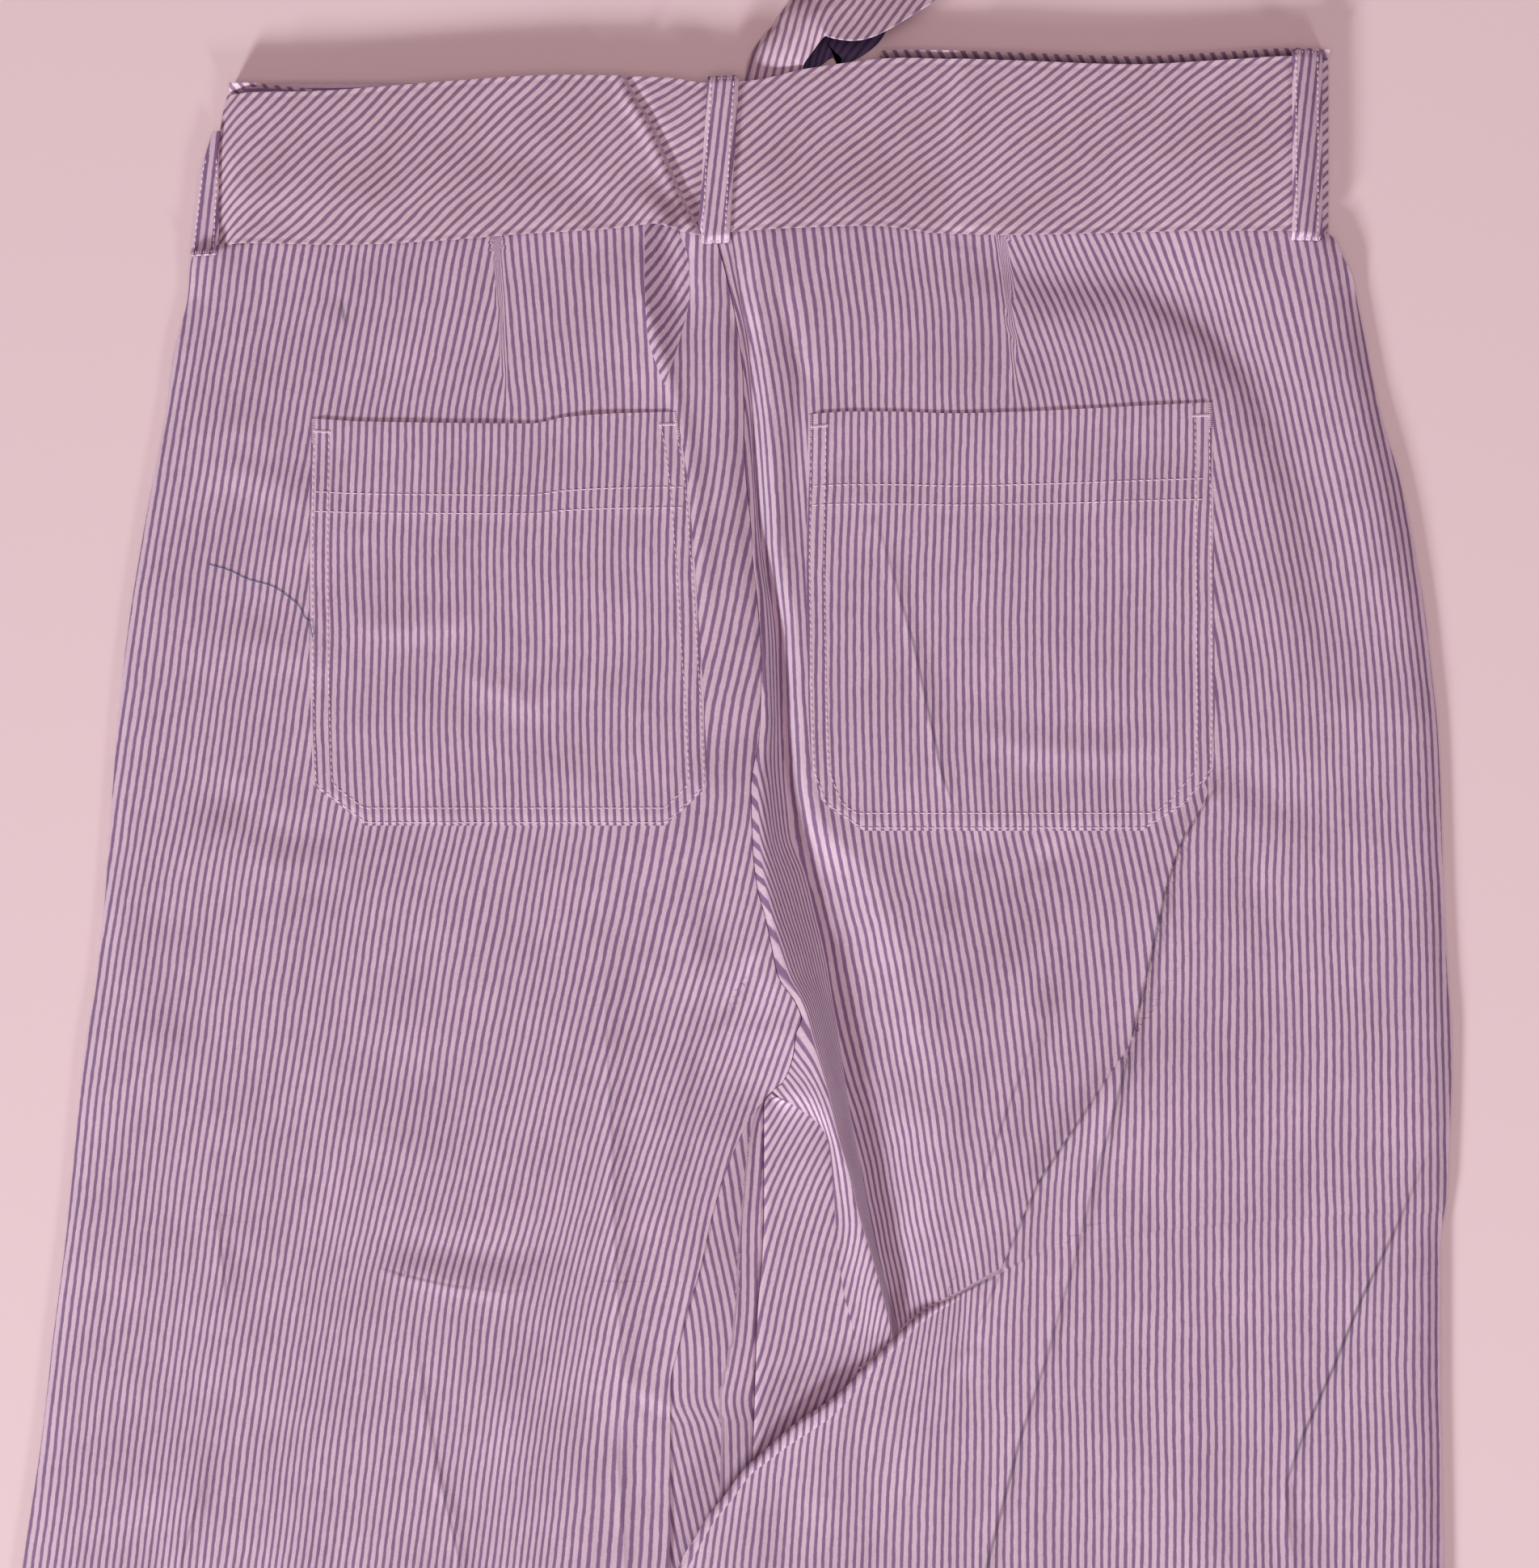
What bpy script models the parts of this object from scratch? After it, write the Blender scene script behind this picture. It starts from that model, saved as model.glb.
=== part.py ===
"""Wide-leg striped trousers with a bias-cut sash belt, laid flat with the back side up.

Every piece is a wall of cloth. Its middle surface is a grid of points given by three numbers
in millimetres: across (to the right of the centre line), down (from the top of the belt) and
high (above the floor). The grid is thickened by half the cloth on each side and closed at its
rim. Run it with: blender --background --python part.py
"""
import bmesh
import bpy
import numpy as np

MM = 0.001

# ---------------------------------------------------------------- driving dimensions, mm
CLOTH = 1.0            # trouser cloth, with its seam allowances
BELT_CLOTH = 1.2       # sash belt, two layers of the same cloth
LOOP_CLOTH = 1.4       # belt loops, folded in four
GAP = 0.3              # between pieces that touch
SEAM = 0.3             # between the edges of two panels at a seam

PANEL_TOP = 45.0       # where the panels are sewn to the waistband, under the belt
CROTCH = 357.0         # where the four panels meet
HEM = 1000.0           # lower edge of the legs
BAND_TOP = 2.0         # top of the waistband
LEVEL = 5.2            # how high the back panels lie where nothing folds them
FLAP_RISE = 2.9        # height of the front panels' inner folds
FLAP_START = 345.0     # where the front panels' inner edge begins to stand up
FLAP_OPENS = 14.0      # length below the crotch over which it bends back
TUCK_FOOT = 454.0      # where the right inseam meets the tuck
TUCK_STEP = 1.4        # distance over which the cloth rises to the tuck's lip

# ---------------------------------------------------------------- outline, rows (down, across)
LEFT_SIDE = ((45, -186), (51, -189), (57, -192.5), (61, -198.5), (65, -202.5), (77, -204),
             (97, -210), (119, -213), (135, -216), (162, -221), (190, -225.5), (215, -228.5), (257, -232),
             (286, -234), (321, -237.5), (340, -241), (374, -244.5), (409, -248), (444, -252.5), (479, -256.5),
             (526, -263.5), (1000, -325))
RIGHT_SIDE = ((45, 186), (50, 187.5), (57, 190), (61, 196), (65, 202), (69, 205), (83, 208),
              (115, 214.5), (141, 222), (162, 226.5), (189, 231), (211, 233.5), (230, 235.5), (251, 236.5), (286, 237.5),
              (318, 239), (339, 240.5), (365, 240), (391, 239), (411, 236.5), (457, 236.5),
              (526, 237.5), (1000, 239))
CENTRE_SEAM = ((45, -19), (57, -18.6), (67, -16), (78, -13.5), (89, -11.3), (97, -10.3),
               (108, -9.4), (126, -9.1), (140, -8.6), (154, -7.1), (171, -5.7), (189, -4),
               (209, -2.9), (229, -3.4), (250, -6.6), (271, -6), (285, -4.4), (294, -1.9),
               (303, 0.1), (316, 2.9), (325, 8.9), (331, 11.1), (336, 9.1), (343, 8.3),
               (353, 4.7), (357, 0))
LEFT_INSEAM = ((357, 0), (364, -5.4), (373, -10.6), (385, -15.4), (399, -20), (417, -24),
               (431, -28), (445, -31.7), (461, -35.1), (512, -35), (560, -39), (650, -48),
               (760, -58), (880, -69), (1000, -80))
RIGHT_INSEAM = ((357, 0), (362, 9.1), (370, 18.5), (377, 20.9), (398, 22.6), (425, 25.4),
                (440, 29), (448, 30.2), (455, 31.4), (471, 34.3), (485, 24), (500, 14),
                (526, 6), (600, 2), (700, -3), (800, -7), (900, -11), (1000, -14))
LEFT_LEG_FOLD = ((357, 0), (361, -2), (399, -2), (415, -2.6), (436, -4.3), (459, -5.1),
                 (478, -5.7), (526, -8.2), (600, -14), (700, -25), (800, -36), (900, -46.5),
                 (1000, -57))
RIGHT_LEG_FOLD = ((357, 0), (361, -2), (399, -2), (415, -2.6), (436, -4.3), (459, -5.1),
                  (478, -5.7), (526, -8.2), (600, -12), (700, -17), (800, -21.5), (900, -25.5),
                  (1000, -28))
TUCK_START = (32.5, 455.4)     # where the lip leaves the right inseam
RIGHT_LOWER_EDGE = ((526, -31.7), (560, -33), (620, -31), (700, -27), (800, -25.5),
                    (900, -26.5), (1000, -28))

# ------------------------------- the long valley of the right panel, rows (down, value)
CREST = ((45, -16.5), (67, -13.9), (90, -9.4), (160, -5.2), (192, -1.8), (225, -1.5),
         (243, -4.2), (267, -3.5), (281, -2), (294, 0.6), (304, 3.2), (316, 6.6), (325, 11.4),
         (331, 13.4), (337, 14.8), (344, 16.8), (356, 20.3), (371, 23.7), (385, 27.7), (400, 31.4), (415, 36),
         (431, 40.3), (441, 42.6), (459, 46), (471, 50))
VALLEY = ((45, -13), (80, -10), (89, -8), (97, -7), (123, -5.8), (140, -5.2), (161, -3.2),
          (179, -0.4), (193, 2.2), (207, 3.4), (224, 4), (243, 5), (267, 7.5), (281, 13),
          (294, 16), (304, 18.5), (313, 20.5), (329, 23), (347, 25.8), (363, 28.2),
          (387, 32.8), (413, 37.9), (429, 42.2), (444, 46), (459, 50), (471, 54))
SHOULDER_WIDTH = ((45, 10), (90, 7), (190, 8), (240, 9), (258, 11), (280, 20), (357, 30),
                  (444, 22), (471, 18))
SEAM_HIGH = ((45, 5.0), (57, 4.8), (80, 4.2), (90, 3.4), (160, 3.2), (190, 4.2), (225, 5.5),
             (250, 7.5), (285, 9), (316, 10), (331, 10), (345, 8.5), (357, 6.5))
RIGHT_INSEAM_HIGH = ((357, 6.5), (365, 7), (380, 8), (400, 8.2), (425, 7), (440, 5.8),
                     (450, 5.0), (471, 4.6), (485, 4.2), (526, 3.4), (1000, 3.2))
LEFT_INSEAM_HIGH = ((357, 6.5), (364, 6), (373, 5.6), (400, 5.2), (445, 4.6), (461, 4.2),
                    (480, 3.7), (526, 3.6), (1000, 3.6))
CREST_HIGH = ((45, 5), (80, 3.9), (90, 2.9), (160, 2.8), (190, 3.9), (225, 5.6), (250, 7.6),
              (285, 9.2), (316, 10.4), (331, 10.8), (357, 11), (385, 10.2), (415, 8.6),
              (431, 7), (441, 5.8), (450, 5.2), (471, 4.8))
VALLEY_HIGH = ((45, 4.8), (80, 3.4), (90, 2.4), (130, 2.3), (190, 2.2), (240, 2.4),
               (267, 2.6), (300, 2.6), (357, 2.4), (400, 2.5), (444, 3.4), (471, 3.8))
SHOULDER_HIGH = ((45, 5), (90, 5.8), (190, 6), (240, 5.8), (300, 6), (400, 6), (471, 5.2))
SIDE_HIGH = ((45, 3.6), (62, 3.6), (80, 2.2), (1000, 2.2))
SEAM_SLOPE_WIDTH = ((45, 6), (90, 3), (190, 4), (250, 16), (316, 22), (357, 14), (400, 10),
                    (461, 8), (1000, 8))

# ------------------------------- the diagonal tuck of the right leg, rows (across, value)
TUCK_LIP = ((-31.7, 525.7), (-24, 511.4), (-20, 505), (-14.3, 498), (-8.3, 489.7),
            (-2.6, 484.6), (4.5, 478), (11.4, 472.3), (19.7, 467), (26.6, 461.7),
            (32.5, 455.4), (39.4, 449), (44.2, 444.3), (51.2, 437.4), (58, 432.6),
            (66, 428.5), (72, 425.2), (80, 420.5), (100, 413), (150, 405), (200, 401),
            (240, 400))
TUCK_HIGH = ((-31.7, 7.9), (-20, 8.4), (0, 9.4), (12, 9.8), (26, 9.4), (45, 8.8), (60, 7.8),
             (76, 6.2), (90, 5.2))

# ------------------------------- folds, rows (across, down, height), widths left and right
# A ridge's height holds on its line and fades to each side. A step rises to its height on the
# left of its line and sinks as far on the right. Left and right are those of the garment for a
# line that runs down; for one that runs across, left is towards the hem.
LEFT_FOLDS = (
    ("ridge", 9, 9, ((-36, 46, -1.0), (-35, 62, -1.8), (-33, 84, -1.2), (-30, 100, 0))),
    ("ridge", 10, 7, ((-50, 60, 0), (-45.7, 80, 0.8), (-40, 100, 0.9), (-32, 117, 0))),
    ("step", 14, 12, ((-142, 419, 0), (-118, 423, -1.2), (-91, 426, -1.3), (-70, 421, 0))),
    ("ridge", 12, 9, ((-60, 300, 0), (-55, 340, 1.2), (-54, 409, 1.5), (-51, 460, 1.2),
                      (-53, 500, 0.8), (-58, 560, 0))),
    ("ridge", 30, 24, ((-120, 520, 0), (-130, 600, 1.6), (-150, 760, 2.0), (-170, 920, 0.6))),
    ("ridge", 26, 30, ((-205, 560, 0), (-215, 680, 1.4), (-236, 860, 1.6), (-250, 1000, 0.8))),
)
RIGHT_FOLDS = (
    ("ridge", 10, 16, ((79, 63, -1.0), (99, 70, -1.8), (128, 70, -2.2), (142, 78, -2.4),
                       (157, 89, -2.4), (171, 106, -2.4), (179, 120, -2.2), (188, 143, -2.0),
                       (192, 169, -1.6), (196, 197, -0.8), (197, 222, 0))),
    ("ridge", 12, 10, ((150, 262, 0), (136, 300, 0.6), (122, 350, 1.4), (106, 372, 2.2),
                       (91, 397, 2.2), (82, 424, 1.6), (78, 460, 0.6), (74, 500, 0))),
    ("ridge", 9, 9, ((104, 285, 0), (96, 326, 0.7), (84, 374, 0.9), (78, 417, 0))),
    ("ridge", 26, 30, ((60, 520, 0), (66, 620, 1.8), (72, 780, 2.2), (70, 940, 0.8))),
    ("ridge", 24, 26, ((165, 480, 0), (160, 600, 1.5), (166, 760, 1.9), (170, 1000, 0.9))),
)

# ------------------------------- pockets, rows (down, left edge, right edge)
LEFT_POCKET = ((119, -161.1, -32.6), (143, -161.6, -28.6), (171, -162, -26.3),
               (214, -161.6, -23.4), (249, -160.6, -21.6), (256, -151, -28.6),
               (263.2, -142, -36.5))
RIGHT_POCKET = ((116.5, 13.7, 155.7), (143, 13.4, 156), (171, 12.9, 156.3),
                (222, 13.7, 156.6), (244, 14.6, 156), (255, 18.5, 147), (265, 33, 131))

# ------------------------------- sash belt, rows (across, down)
BELT_TOP_EDGE = ((-198, 2), (-191, 0.9), (-178, 2.3), (-152, 4.3), (-112, 0), (-72, -2),
                 (-35, -0.9), (-21, 0.9), (-6, 0), (14, -4.3), (48, -8), (85, -7.1),
                 (128, -5.7), (157, -7.1), (185, -8.6), (198, -8))
BELT_LOW_EDGE = ((-198, 58), (-186, 57.1), (-150, 58), (-112, 56.3), (-89, 54.3),
                 (-58, 52.3), (-41, 50.9), (-26, 54.3), (-6, 52.9), (14, 52), (37, 51.4),
                 (59, 53.7), (85, 54.3), (128, 53.4), (157, 52.9), (198, 52.9))
BELT_FOLDS = (
    ("step", 6, 5, ((-51, 0, 0.7), (-43, 15, 1.0), (-37, 29, 1.0), (-32, 40, 1.0),
                    (-25, 56, 0.7))),
    ("ridge", 16, 4, ((62.6, -8, -0.6), (62.6, 30, -0.6), (62.6, 56, -0.2))),
    ("ridge", 20, 20, ((-150, 44, 0.8), (-90, 36, 0.6), (-60, 30, 0))),
    ("ridge", 22, 18, ((100, 34, 0), (140, 30, 0.9), (185, 34, 0.5))),
)
BELT_LEFT_END = ((0, -193), (30, -195.5), (58, -199.5))    # rows (down, across)
BELT_RIGHT = 197.0     # where the belt turns round the right side
BELT_TURN = 5.0        # length over which it curves down
BELT_WIDE = 57.0       # width of the belt's front run
BELT_HIGH = 7.0        # back run of the belt over the waistband
BAND_HIGH = 4.6        # back of the waistband
BAND_LEFT = -185.0     # ends of the waistband, inside the belt's turns
BAND_RIGHT = 187.0
TAIL_TURN = 2.2        # height of the bend where the free end folds under
TAIL_SLOT = (-12.0, 39.0)   # where the free end comes out between the belt's front runs
BELT_COLUMNS = (0, .004, .009, .016, .03, .06, .11, .17, .24, .32, .365, .38, .395, .41, .44,
                .50, .57, .62, .655, .70, .77, .84, .91, .955, .975, .985, .992, .996, 1)

# ------------------------------- belt loops, rows (share of the belt's width, left, right)
LOOPS = (
    ("loop_centre", ((0, -21.4, -11.1), (1, -24.6, -13.9))),
    ("loop_right", ((0, 186.0, 195.2), (1, 185.6, 194.8))),
    ("loop_left", ((0.24, -195.2, -190.6), (0.5, -196.8, -190.4), (1, -199.3, -189.6))),
)

LOOP_LOWEST = (3.0, 4.2, 5.2)      # least heights of a loop's first rows, behind the belt's edge

# ------------------------------- free end of the belt: a row for each section
# columns: across and down of the strip's middle, width of the upper layer and of the layer
# folded under it, height of the middle and of the right edge
TAIL = (
    (2.4, -1.4, 19, 20, 4.3, 4.2),
    (2.9, -5.8, 20, 21, 5.2, 4.8),
    (4.6, -10.6, 20.5, 22, 7.0, 5.2),
    (9.0, -15.4, 23, 24, 9.6, 7.6),
    (16.6, -20.2, 27, 25, 11.5, 11.5),
    (28.0, -28.0, 32, 28, 12.0, 13.0),
    (42.0, -40.0, 38, 20, 10.5, 11.5),
    (58.0, -54.0, 44, 12, 8.0, 9.0),
    (78.0, -68.0, 50, 5.5, 5.0, 5.5),
    (102.0, -80.0, 54, 2.5, 3.0, 3.0),
    (130.0, -88.0, 55, 1.2, 2.2, 2.2),
    (160.0, -91.0, 55, 1.2, 2.2, 2.2),
    (190.0, -89.0, 55, 1.2, 3.4, 2.6),
    (220.0, -84.0, 55, 1.2, 2.6, 2.2),
    (250.0, -78.0, 55, 1.2, 2.2, 2.2),
)

# ------------------------------- grids of the solids
DOWN_ROWS = (45, 58, 72, 86, 104, 126, 150, 174, 196, 218, 240, 258, 274, 288, 302, 315, 325,
             331, 340, 349, 357, 364, 371, 382, 397, 412, 426, 438, 447, 454)
LOWER_ROWS = (471, 486, 502, 524, 552, 590, 640, 700, 770, 850, 925, 1000)
LOWER_STARTS = (       # across and down of a row's inner end, and how level the row is
    (32.5, 455.4, 0), (19.7, 467, .12), (4.5, 478, .22), (-8.3, 489.7, .32), (-20, 505, .44),
    (-31.7, 525.7, .58), (-32.8, 552, .74), (-32.2, 590, .88), (-30.2, 640, 1), (-27, 700, 1),
    (-25.8, 770, 1), (-25.9, 850, 1), (-26.8, 925, 1), (-28, 1000, 1),
)
FRONT_ROWS = (45, 62, 75, 120, 196, 274, 331, 345, 351, 357, 364, 371, 382, 397, 412, 426, 438,
              447, 454, 471, 486, 502, 524, 560, 620, 700, 800, 900, 1000)
WIDE_COLUMNS = (0, .012, .03, .06, .11, .18, .26, .34, .42, .5, .58, .66, .74, .82, .89, .945,
                .978, 1)
RIGHT_KNOTS = (0, .10, .25, .40, 1)     # inner edge, crest, valley, shoulder, side
RIGHT_COLUMNS = (0, .05, .10, .15, .20, .25, .30, .35, .40, .46, .53, .60, .67, .74, .81, .88,
                 .94, .975, 1)
POCKET_ROWS = (0, .17, .33, .5, .66, .8, .88, .94, 1)
POCKET_COLUMNS = (0, .05, .12, .24, .4, .55, .7, .85, 1)

CLOTH_COLOUR = (0.46, 0.33, 0.45)
BELT_COLOUR = (0.40, 0.27, 0.38)
POCKET_COLOUR = (0.48, 0.35, 0.47)


# ---------------------------------------------------------------- numbers
def line(rows, at):
    """Smooth line through rows of (position, value): a cubic from row to row whose slope at
    each row is the harmonic mean of its neighbours', so it never overshoots; level beyond."""
    x, y = np.array(rows, float).T
    step = np.diff(x)
    slope = np.diff(y) / step
    tangent = np.zeros_like(y)
    product = slope[:-1] * slope[1:]
    turning = product <= 0
    total = np.where(turning, 1.0, slope[:-1] + slope[1:])
    tangent[1:-1] = np.where(turning, 0.0, 2 * product / total)
    tangent[0] = slope[0]
    tangent[-1] = slope[-1]
    at = np.clip(np.asarray(at, float), x[0], x[-1])
    k = np.clip(np.searchsorted(x, at, side="right") - 1, 0, len(step) - 1)
    t = (at - x[k]) / step[k]
    start = y[k] * (1 + 2 * t) * (1 - t) ** 2 + step[k] * tangent[k] * t * (1 - t) ** 2
    end = y[k + 1] * t * t * (3 - 2 * t) - step[k] * tangent[k + 1] * t * t * (1 - t)
    return start + end


def ease(t):
    """Zero below 0, one above 1, a smooth S between."""
    t = np.clip(t, 0, 1)
    return t * t * (3 - 2 * t)


def mix(a, b, share):
    """The point at that share of the way from a to b."""
    return a + (b - a) * share


def fold(across, down, kind, left, right, rows):
    """Height that one fold adds: the distance to its line, divided by the width on that side,
    gives a bell for a ridge, and the bell times the distance for a step."""
    nearest = np.full(across.shape, 1e9)
    signed = np.zeros(across.shape)
    height = np.zeros(across.shape)
    points = np.array(rows, float)
    for a, b in zip(points[:-1], points[1:]):
        run = b[:2] - a[:2]
        t = ((across - a[0]) * run[0] + (down - a[1]) * run[1]) / (run @ run)
        t = np.clip(t, 0, 1)
        off_a = across - a[0] - t * run[0]
        off_d = down - a[1] - t * run[1]
        distance = np.hypot(off_a, off_d)
        closer = distance < nearest
        side = np.where(run[1] * off_a - run[0] * off_d < 0, -1.0, 1.0)
        nearest = np.where(closer, distance, nearest)
        signed = np.where(closer, distance * side, signed)
        height = np.where(closer, mix(a[2], b[2], t), height)
    reach = signed / np.where(signed < 0, left, right)
    bell = np.exp(-reach ** 2)
    if kind == "ridge":
        return height * bell
    return -height * reach * bell * np.sqrt(2 * np.e)


def folds(across, down, table):
    """All the folds of a table added up."""
    return sum(fold(across, down, *row) for row in table)


def side_roll(high, distance, low, width=5.0):
    """The cloth's height, brought down to low over the last few millimetres of an edge."""
    return high - (high - low) * np.exp(-(np.maximum(distance, 0) / width) ** 1.4)


# ---------------------------------------------------------------- panel surfaces
def left_inner(down):
    """Inner edge of the left back panel: centre seam, then inseam."""
    return np.where(down < CROTCH, line(CENTRE_SEAM, down), line(LEFT_INSEAM, down))


def right_inner(down):
    """Inner edge of the right back panel: centre seam, then inseam."""
    return np.where(down < CROTCH, line(CENTRE_SEAM, down), line(RIGHT_INSEAM, down))


def left_high(across, down):
    """Height of the left back panel: level, bent to the seam's height along the inner edge
    and to the floor along the side, with its folds."""
    edge = np.where(down < CROTCH, line(SEAM_HIGH, down), line(LEFT_INSEAM_HIGH, down))
    inward = np.maximum(left_inner(down) - across, 0) / line(SEAM_SLOPE_WIDTH, down)
    high = LEVEL + folds(across, down, LEFT_FOLDS)
    under_right_leg = ease((across + 75) / 30) * ease((down - 455) / 30)
    high = mix(high, 3.6, under_right_leg)
    high = high + (edge - high) * np.exp(-inward ** 1.5)
    return side_roll(high, across - line(LEFT_SIDE, down), line(SIDE_HIGH, down))


def right_guides(down):
    """Across and height of the right panel's guide lines: inner edge, crest, valley and
    shoulder."""
    edge = np.where(down < CROTCH, line(SEAM_HIGH, down), line(RIGHT_INSEAM_HIGH, down))
    valley = line(VALLEY, down)
    across = (right_inner(down) + SEAM, line(CREST, down), valley,
              valley + line(SHOULDER_WIDTH, down), line(RIGHT_SIDE, down))
    high = (edge, line(CREST_HIGH, down), line(VALLEY_HIGH, down), line(SHOULDER_HIGH, down),
            np.full(np.shape(down), LEVEL))
    return across, high


def between_guides(u, values, smooth):
    """Value at share u of the width: from guide to guide, straight or in a smooth S."""
    result = np.array(values[0] + 0 * u)
    for k in range(len(RIGHT_KNOTS) - 1):
        t = np.clip((u - RIGHT_KNOTS[k]) / (RIGHT_KNOTS[k + 1] - RIGHT_KNOTS[k]), 0, 1)
        if smooth:
            t = ease(t)
        result = result + (values[k + 1] - values[k]) * t
    return result


def right_upper(u, rows):
    """Right back panel from the waistband to the tuck: rows slant so that the last one runs
    along the tuck's lip."""
    u, start = np.meshgrid(u, rows)
    share = (start - PANEL_TOP) / (TUCK_FOOT - PANEL_TOP)
    down = start
    for _ in range(12):
        across = between_guides(u, right_guides(down)[0], False)
        lip = line(TUCK_LIP, np.maximum(across, TUCK_START[0]))
        down = PANEL_TOP + share * (lip - TUCK_STEP - PANEL_TOP)
    high = between_guides(u, right_guides(down)[1], True) + folds(across, down, RIGHT_FOLDS)
    high = side_roll(high, line(RIGHT_SIDE, down) - across, line(SIDE_HIGH, down))
    return across, down, high


def right_lower_high(across, down):
    """Height of the right leg below the tuck: it falls from the lip to the level, lies over
    the left leg near its inner edge and rolls down at both edges."""
    below_lip = np.maximum(down - line(TUCK_LIP, across), 0) * 0.7
    high = LEVEL + folds(across, down, RIGHT_FOLDS)
    high = high + 1.9 * ease((6 - across) / 14) * (1 - ease((down - 640) / 140))
    lip = line(TUCK_HIGH, across)
    high = high + np.maximum(lip - high, 0) * np.exp(-(below_lip / 15) ** 1.3)
    inner_low = mix(6.4, 4.7, ease((down - 560) / 160))
    high = side_roll(high, across - line(RIGHT_LOWER_EDGE, down), inner_low)
    return side_roll(high, line(RIGHT_SIDE, down) - across, line(SIDE_HIGH, down))


def right_back(u, rows):
    """Whole right back panel as one sheet: the upper cloth, the steep rise to the tuck's lip,
    and the lower cloth. Its first rows start along the free part of the lip and swing level."""
    across, down, high = right_upper(u, rows)
    u = np.array(u, float)
    start_a = across[-1]
    start_share = (start_a - start_a[0]) / (start_a[-1] - start_a[0])
    sheet_a, sheet_d, sheet_h = [across], [down], [high]
    for inner, row, level in LOWER_STARTS:
        column = mix(start_share, u, float(ease(level)))
        row_a = mix(inner, line(RIGHT_SIDE, row), column)
        for _ in range(4):
            lip = line(TUCK_LIP, row_a) - line(TUCK_LIP, inner)
            row_d = row + lip * (1 - level)
            row_a = mix(inner, line(RIGHT_SIDE, row_d), column)
        sheet_a.append([row_a])
        sheet_d.append([row_d])
        sheet_h.append([right_lower_high(row_a, row_d)])
    return np.vstack(sheet_a), np.vstack(sheet_d), np.vstack(sheet_h)


def left_back(u, rows):
    """Left back panel: from the seam (u = 0) to the side (u = 1)."""
    u, down = np.meshgrid(u, rows)
    inner = left_inner(down)
    across = mix(inner, line(LEFT_SIDE, down), u)
    return across, down, left_high(across, down)


def back_high(across, down):
    """Height of the back panels under a pocket, away from the tuck."""
    guides, high = right_guides(down)
    u = np.full(across.shape, float(RIGHT_KNOTS[-2]))
    for k in range(len(guides) - 2, -1, -1):
        t = (across - guides[k]) / (guides[k + 1] - guides[k])
        u = np.where(t < 1, mix(RIGHT_KNOTS[k], RIGHT_KNOTS[k + 1], np.clip(t, 0, 1)), u)
    right = between_guides(u, high, True) + folds(across, down, RIGHT_FOLDS)
    return np.where(across < left_inner(down), left_high(across, down), right)


def front_panel(sign, rows):
    """One front panel. Down to the crotch it lies flat, its last columns beside the centre
    front; at the crotch those columns stand up to meet the back panel; below it they bend round
    the leg's inner fold and lie back over the top to the inseam."""
    side = LEFT_SIDE if sign < 0 else RIGHT_SIDE
    leg_fold = LEFT_LEG_FOLD if sign < 0 else RIGHT_LEG_FOLD
    inseam = LEFT_INSEAM if sign < 0 else RIGHT_INSEAM
    inseam_high = LEFT_INSEAM_HIGH if sign < 0 else RIGHT_INSEAM_HIGH
    base = CLOTH / 2
    centre = sign * SEAM / 2
    standing_at = centre + sign * CLOTH / 2
    bend = ((0.42, 0.15), (0, 0.5), (0.42, 0.9))
    flap_shares = (0.12, 0.38, 0.68, 1)
    across, down, high = [], [], []
    for row in rows:
        stand = float(ease((row - FLAP_START) / (CROTCH - FLAP_START)))
        lean = float(ease((row - CROTCH) / FLAP_OPENS))
        outer = float(line(side, row))
        turn = float(line(leg_fold, row)) + sign * 0.9
        end = float(line(inseam, row)) - sign * (SEAM + 0.2)
        end_high = float(line(inseam_high, row))
        flat_end = mix(centre + sign * 7.7, standing_at + sign * 1.0, stand)
        floor_end = mix(flat_end, turn + sign * 1.2, lean)
        row_a = [mix(outer, floor_end, share) for share in (0, .03, .2, .4, .6, .8, .93, 1)]
        row_h = [base] * len(row_a)
        folded = [(turn + sign * 1.2 * out, mix(base, FLAP_RISE, up)) for out, up in bend]
        for share in flap_shares:
            slope = ease(share) * 0.9 + share * 0.1
            folded.append((mix(turn + sign * 1.2, end, share),
                           mix(FLAP_RISE, end_high, slope)))
        for k, (folded_a, folded_h) in enumerate(folded):
            flat_a = centre + sign * 1.1 * (6 - k)
            standing_h = base + 0.7 * (k + 1)
            row_a.append(mix(mix(flat_a, standing_at, stand), folded_a, lean))
            row_h.append(mix(mix(base, standing_h, stand), folded_h, lean))
        lift = (BELT_CLOTH + GAP) * (1 - float(ease((row - 62) / 12)))
        across.append(row_a)
        high.append([value + lift for value in row_h])
        down.append([row] * len(row_a))
    return np.array(across), np.array(down, float), np.array(high)


def pocket(table, rows, columns):
    """A patch pocket: the panel's points inside its outline, moved out."""
    top = table[0][0]
    bottom = table[-1][0]
    u, share = np.meshgrid(columns, rows)
    down = mix(top, bottom, share)
    left = np.interp(down, [r[0] for r in table], [r[1] for r in table])
    right = np.interp(down, [r[0] for r in table], [r[2] for r in table])
    across = mix(left, right, u)
    return across, down, back_high(across, down) + CLOTH + GAP + 0.45


# ---------------------------------------------------------------- waist surfaces
def belt_high(across, down):
    """Height of the belt's back run, with its folds, rolled down where it turns round each
    side to meet the front run."""
    high = BELT_HIGH + folds(across, down, BELT_FOLDS)
    lower = BELT_CLOTH * 1.5 + GAP
    high = side_roll(high, across - line(BELT_LEFT_END, down), lower, BELT_TURN)
    return side_roll(high, BELT_RIGHT - across, lower, BELT_TURN)


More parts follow.
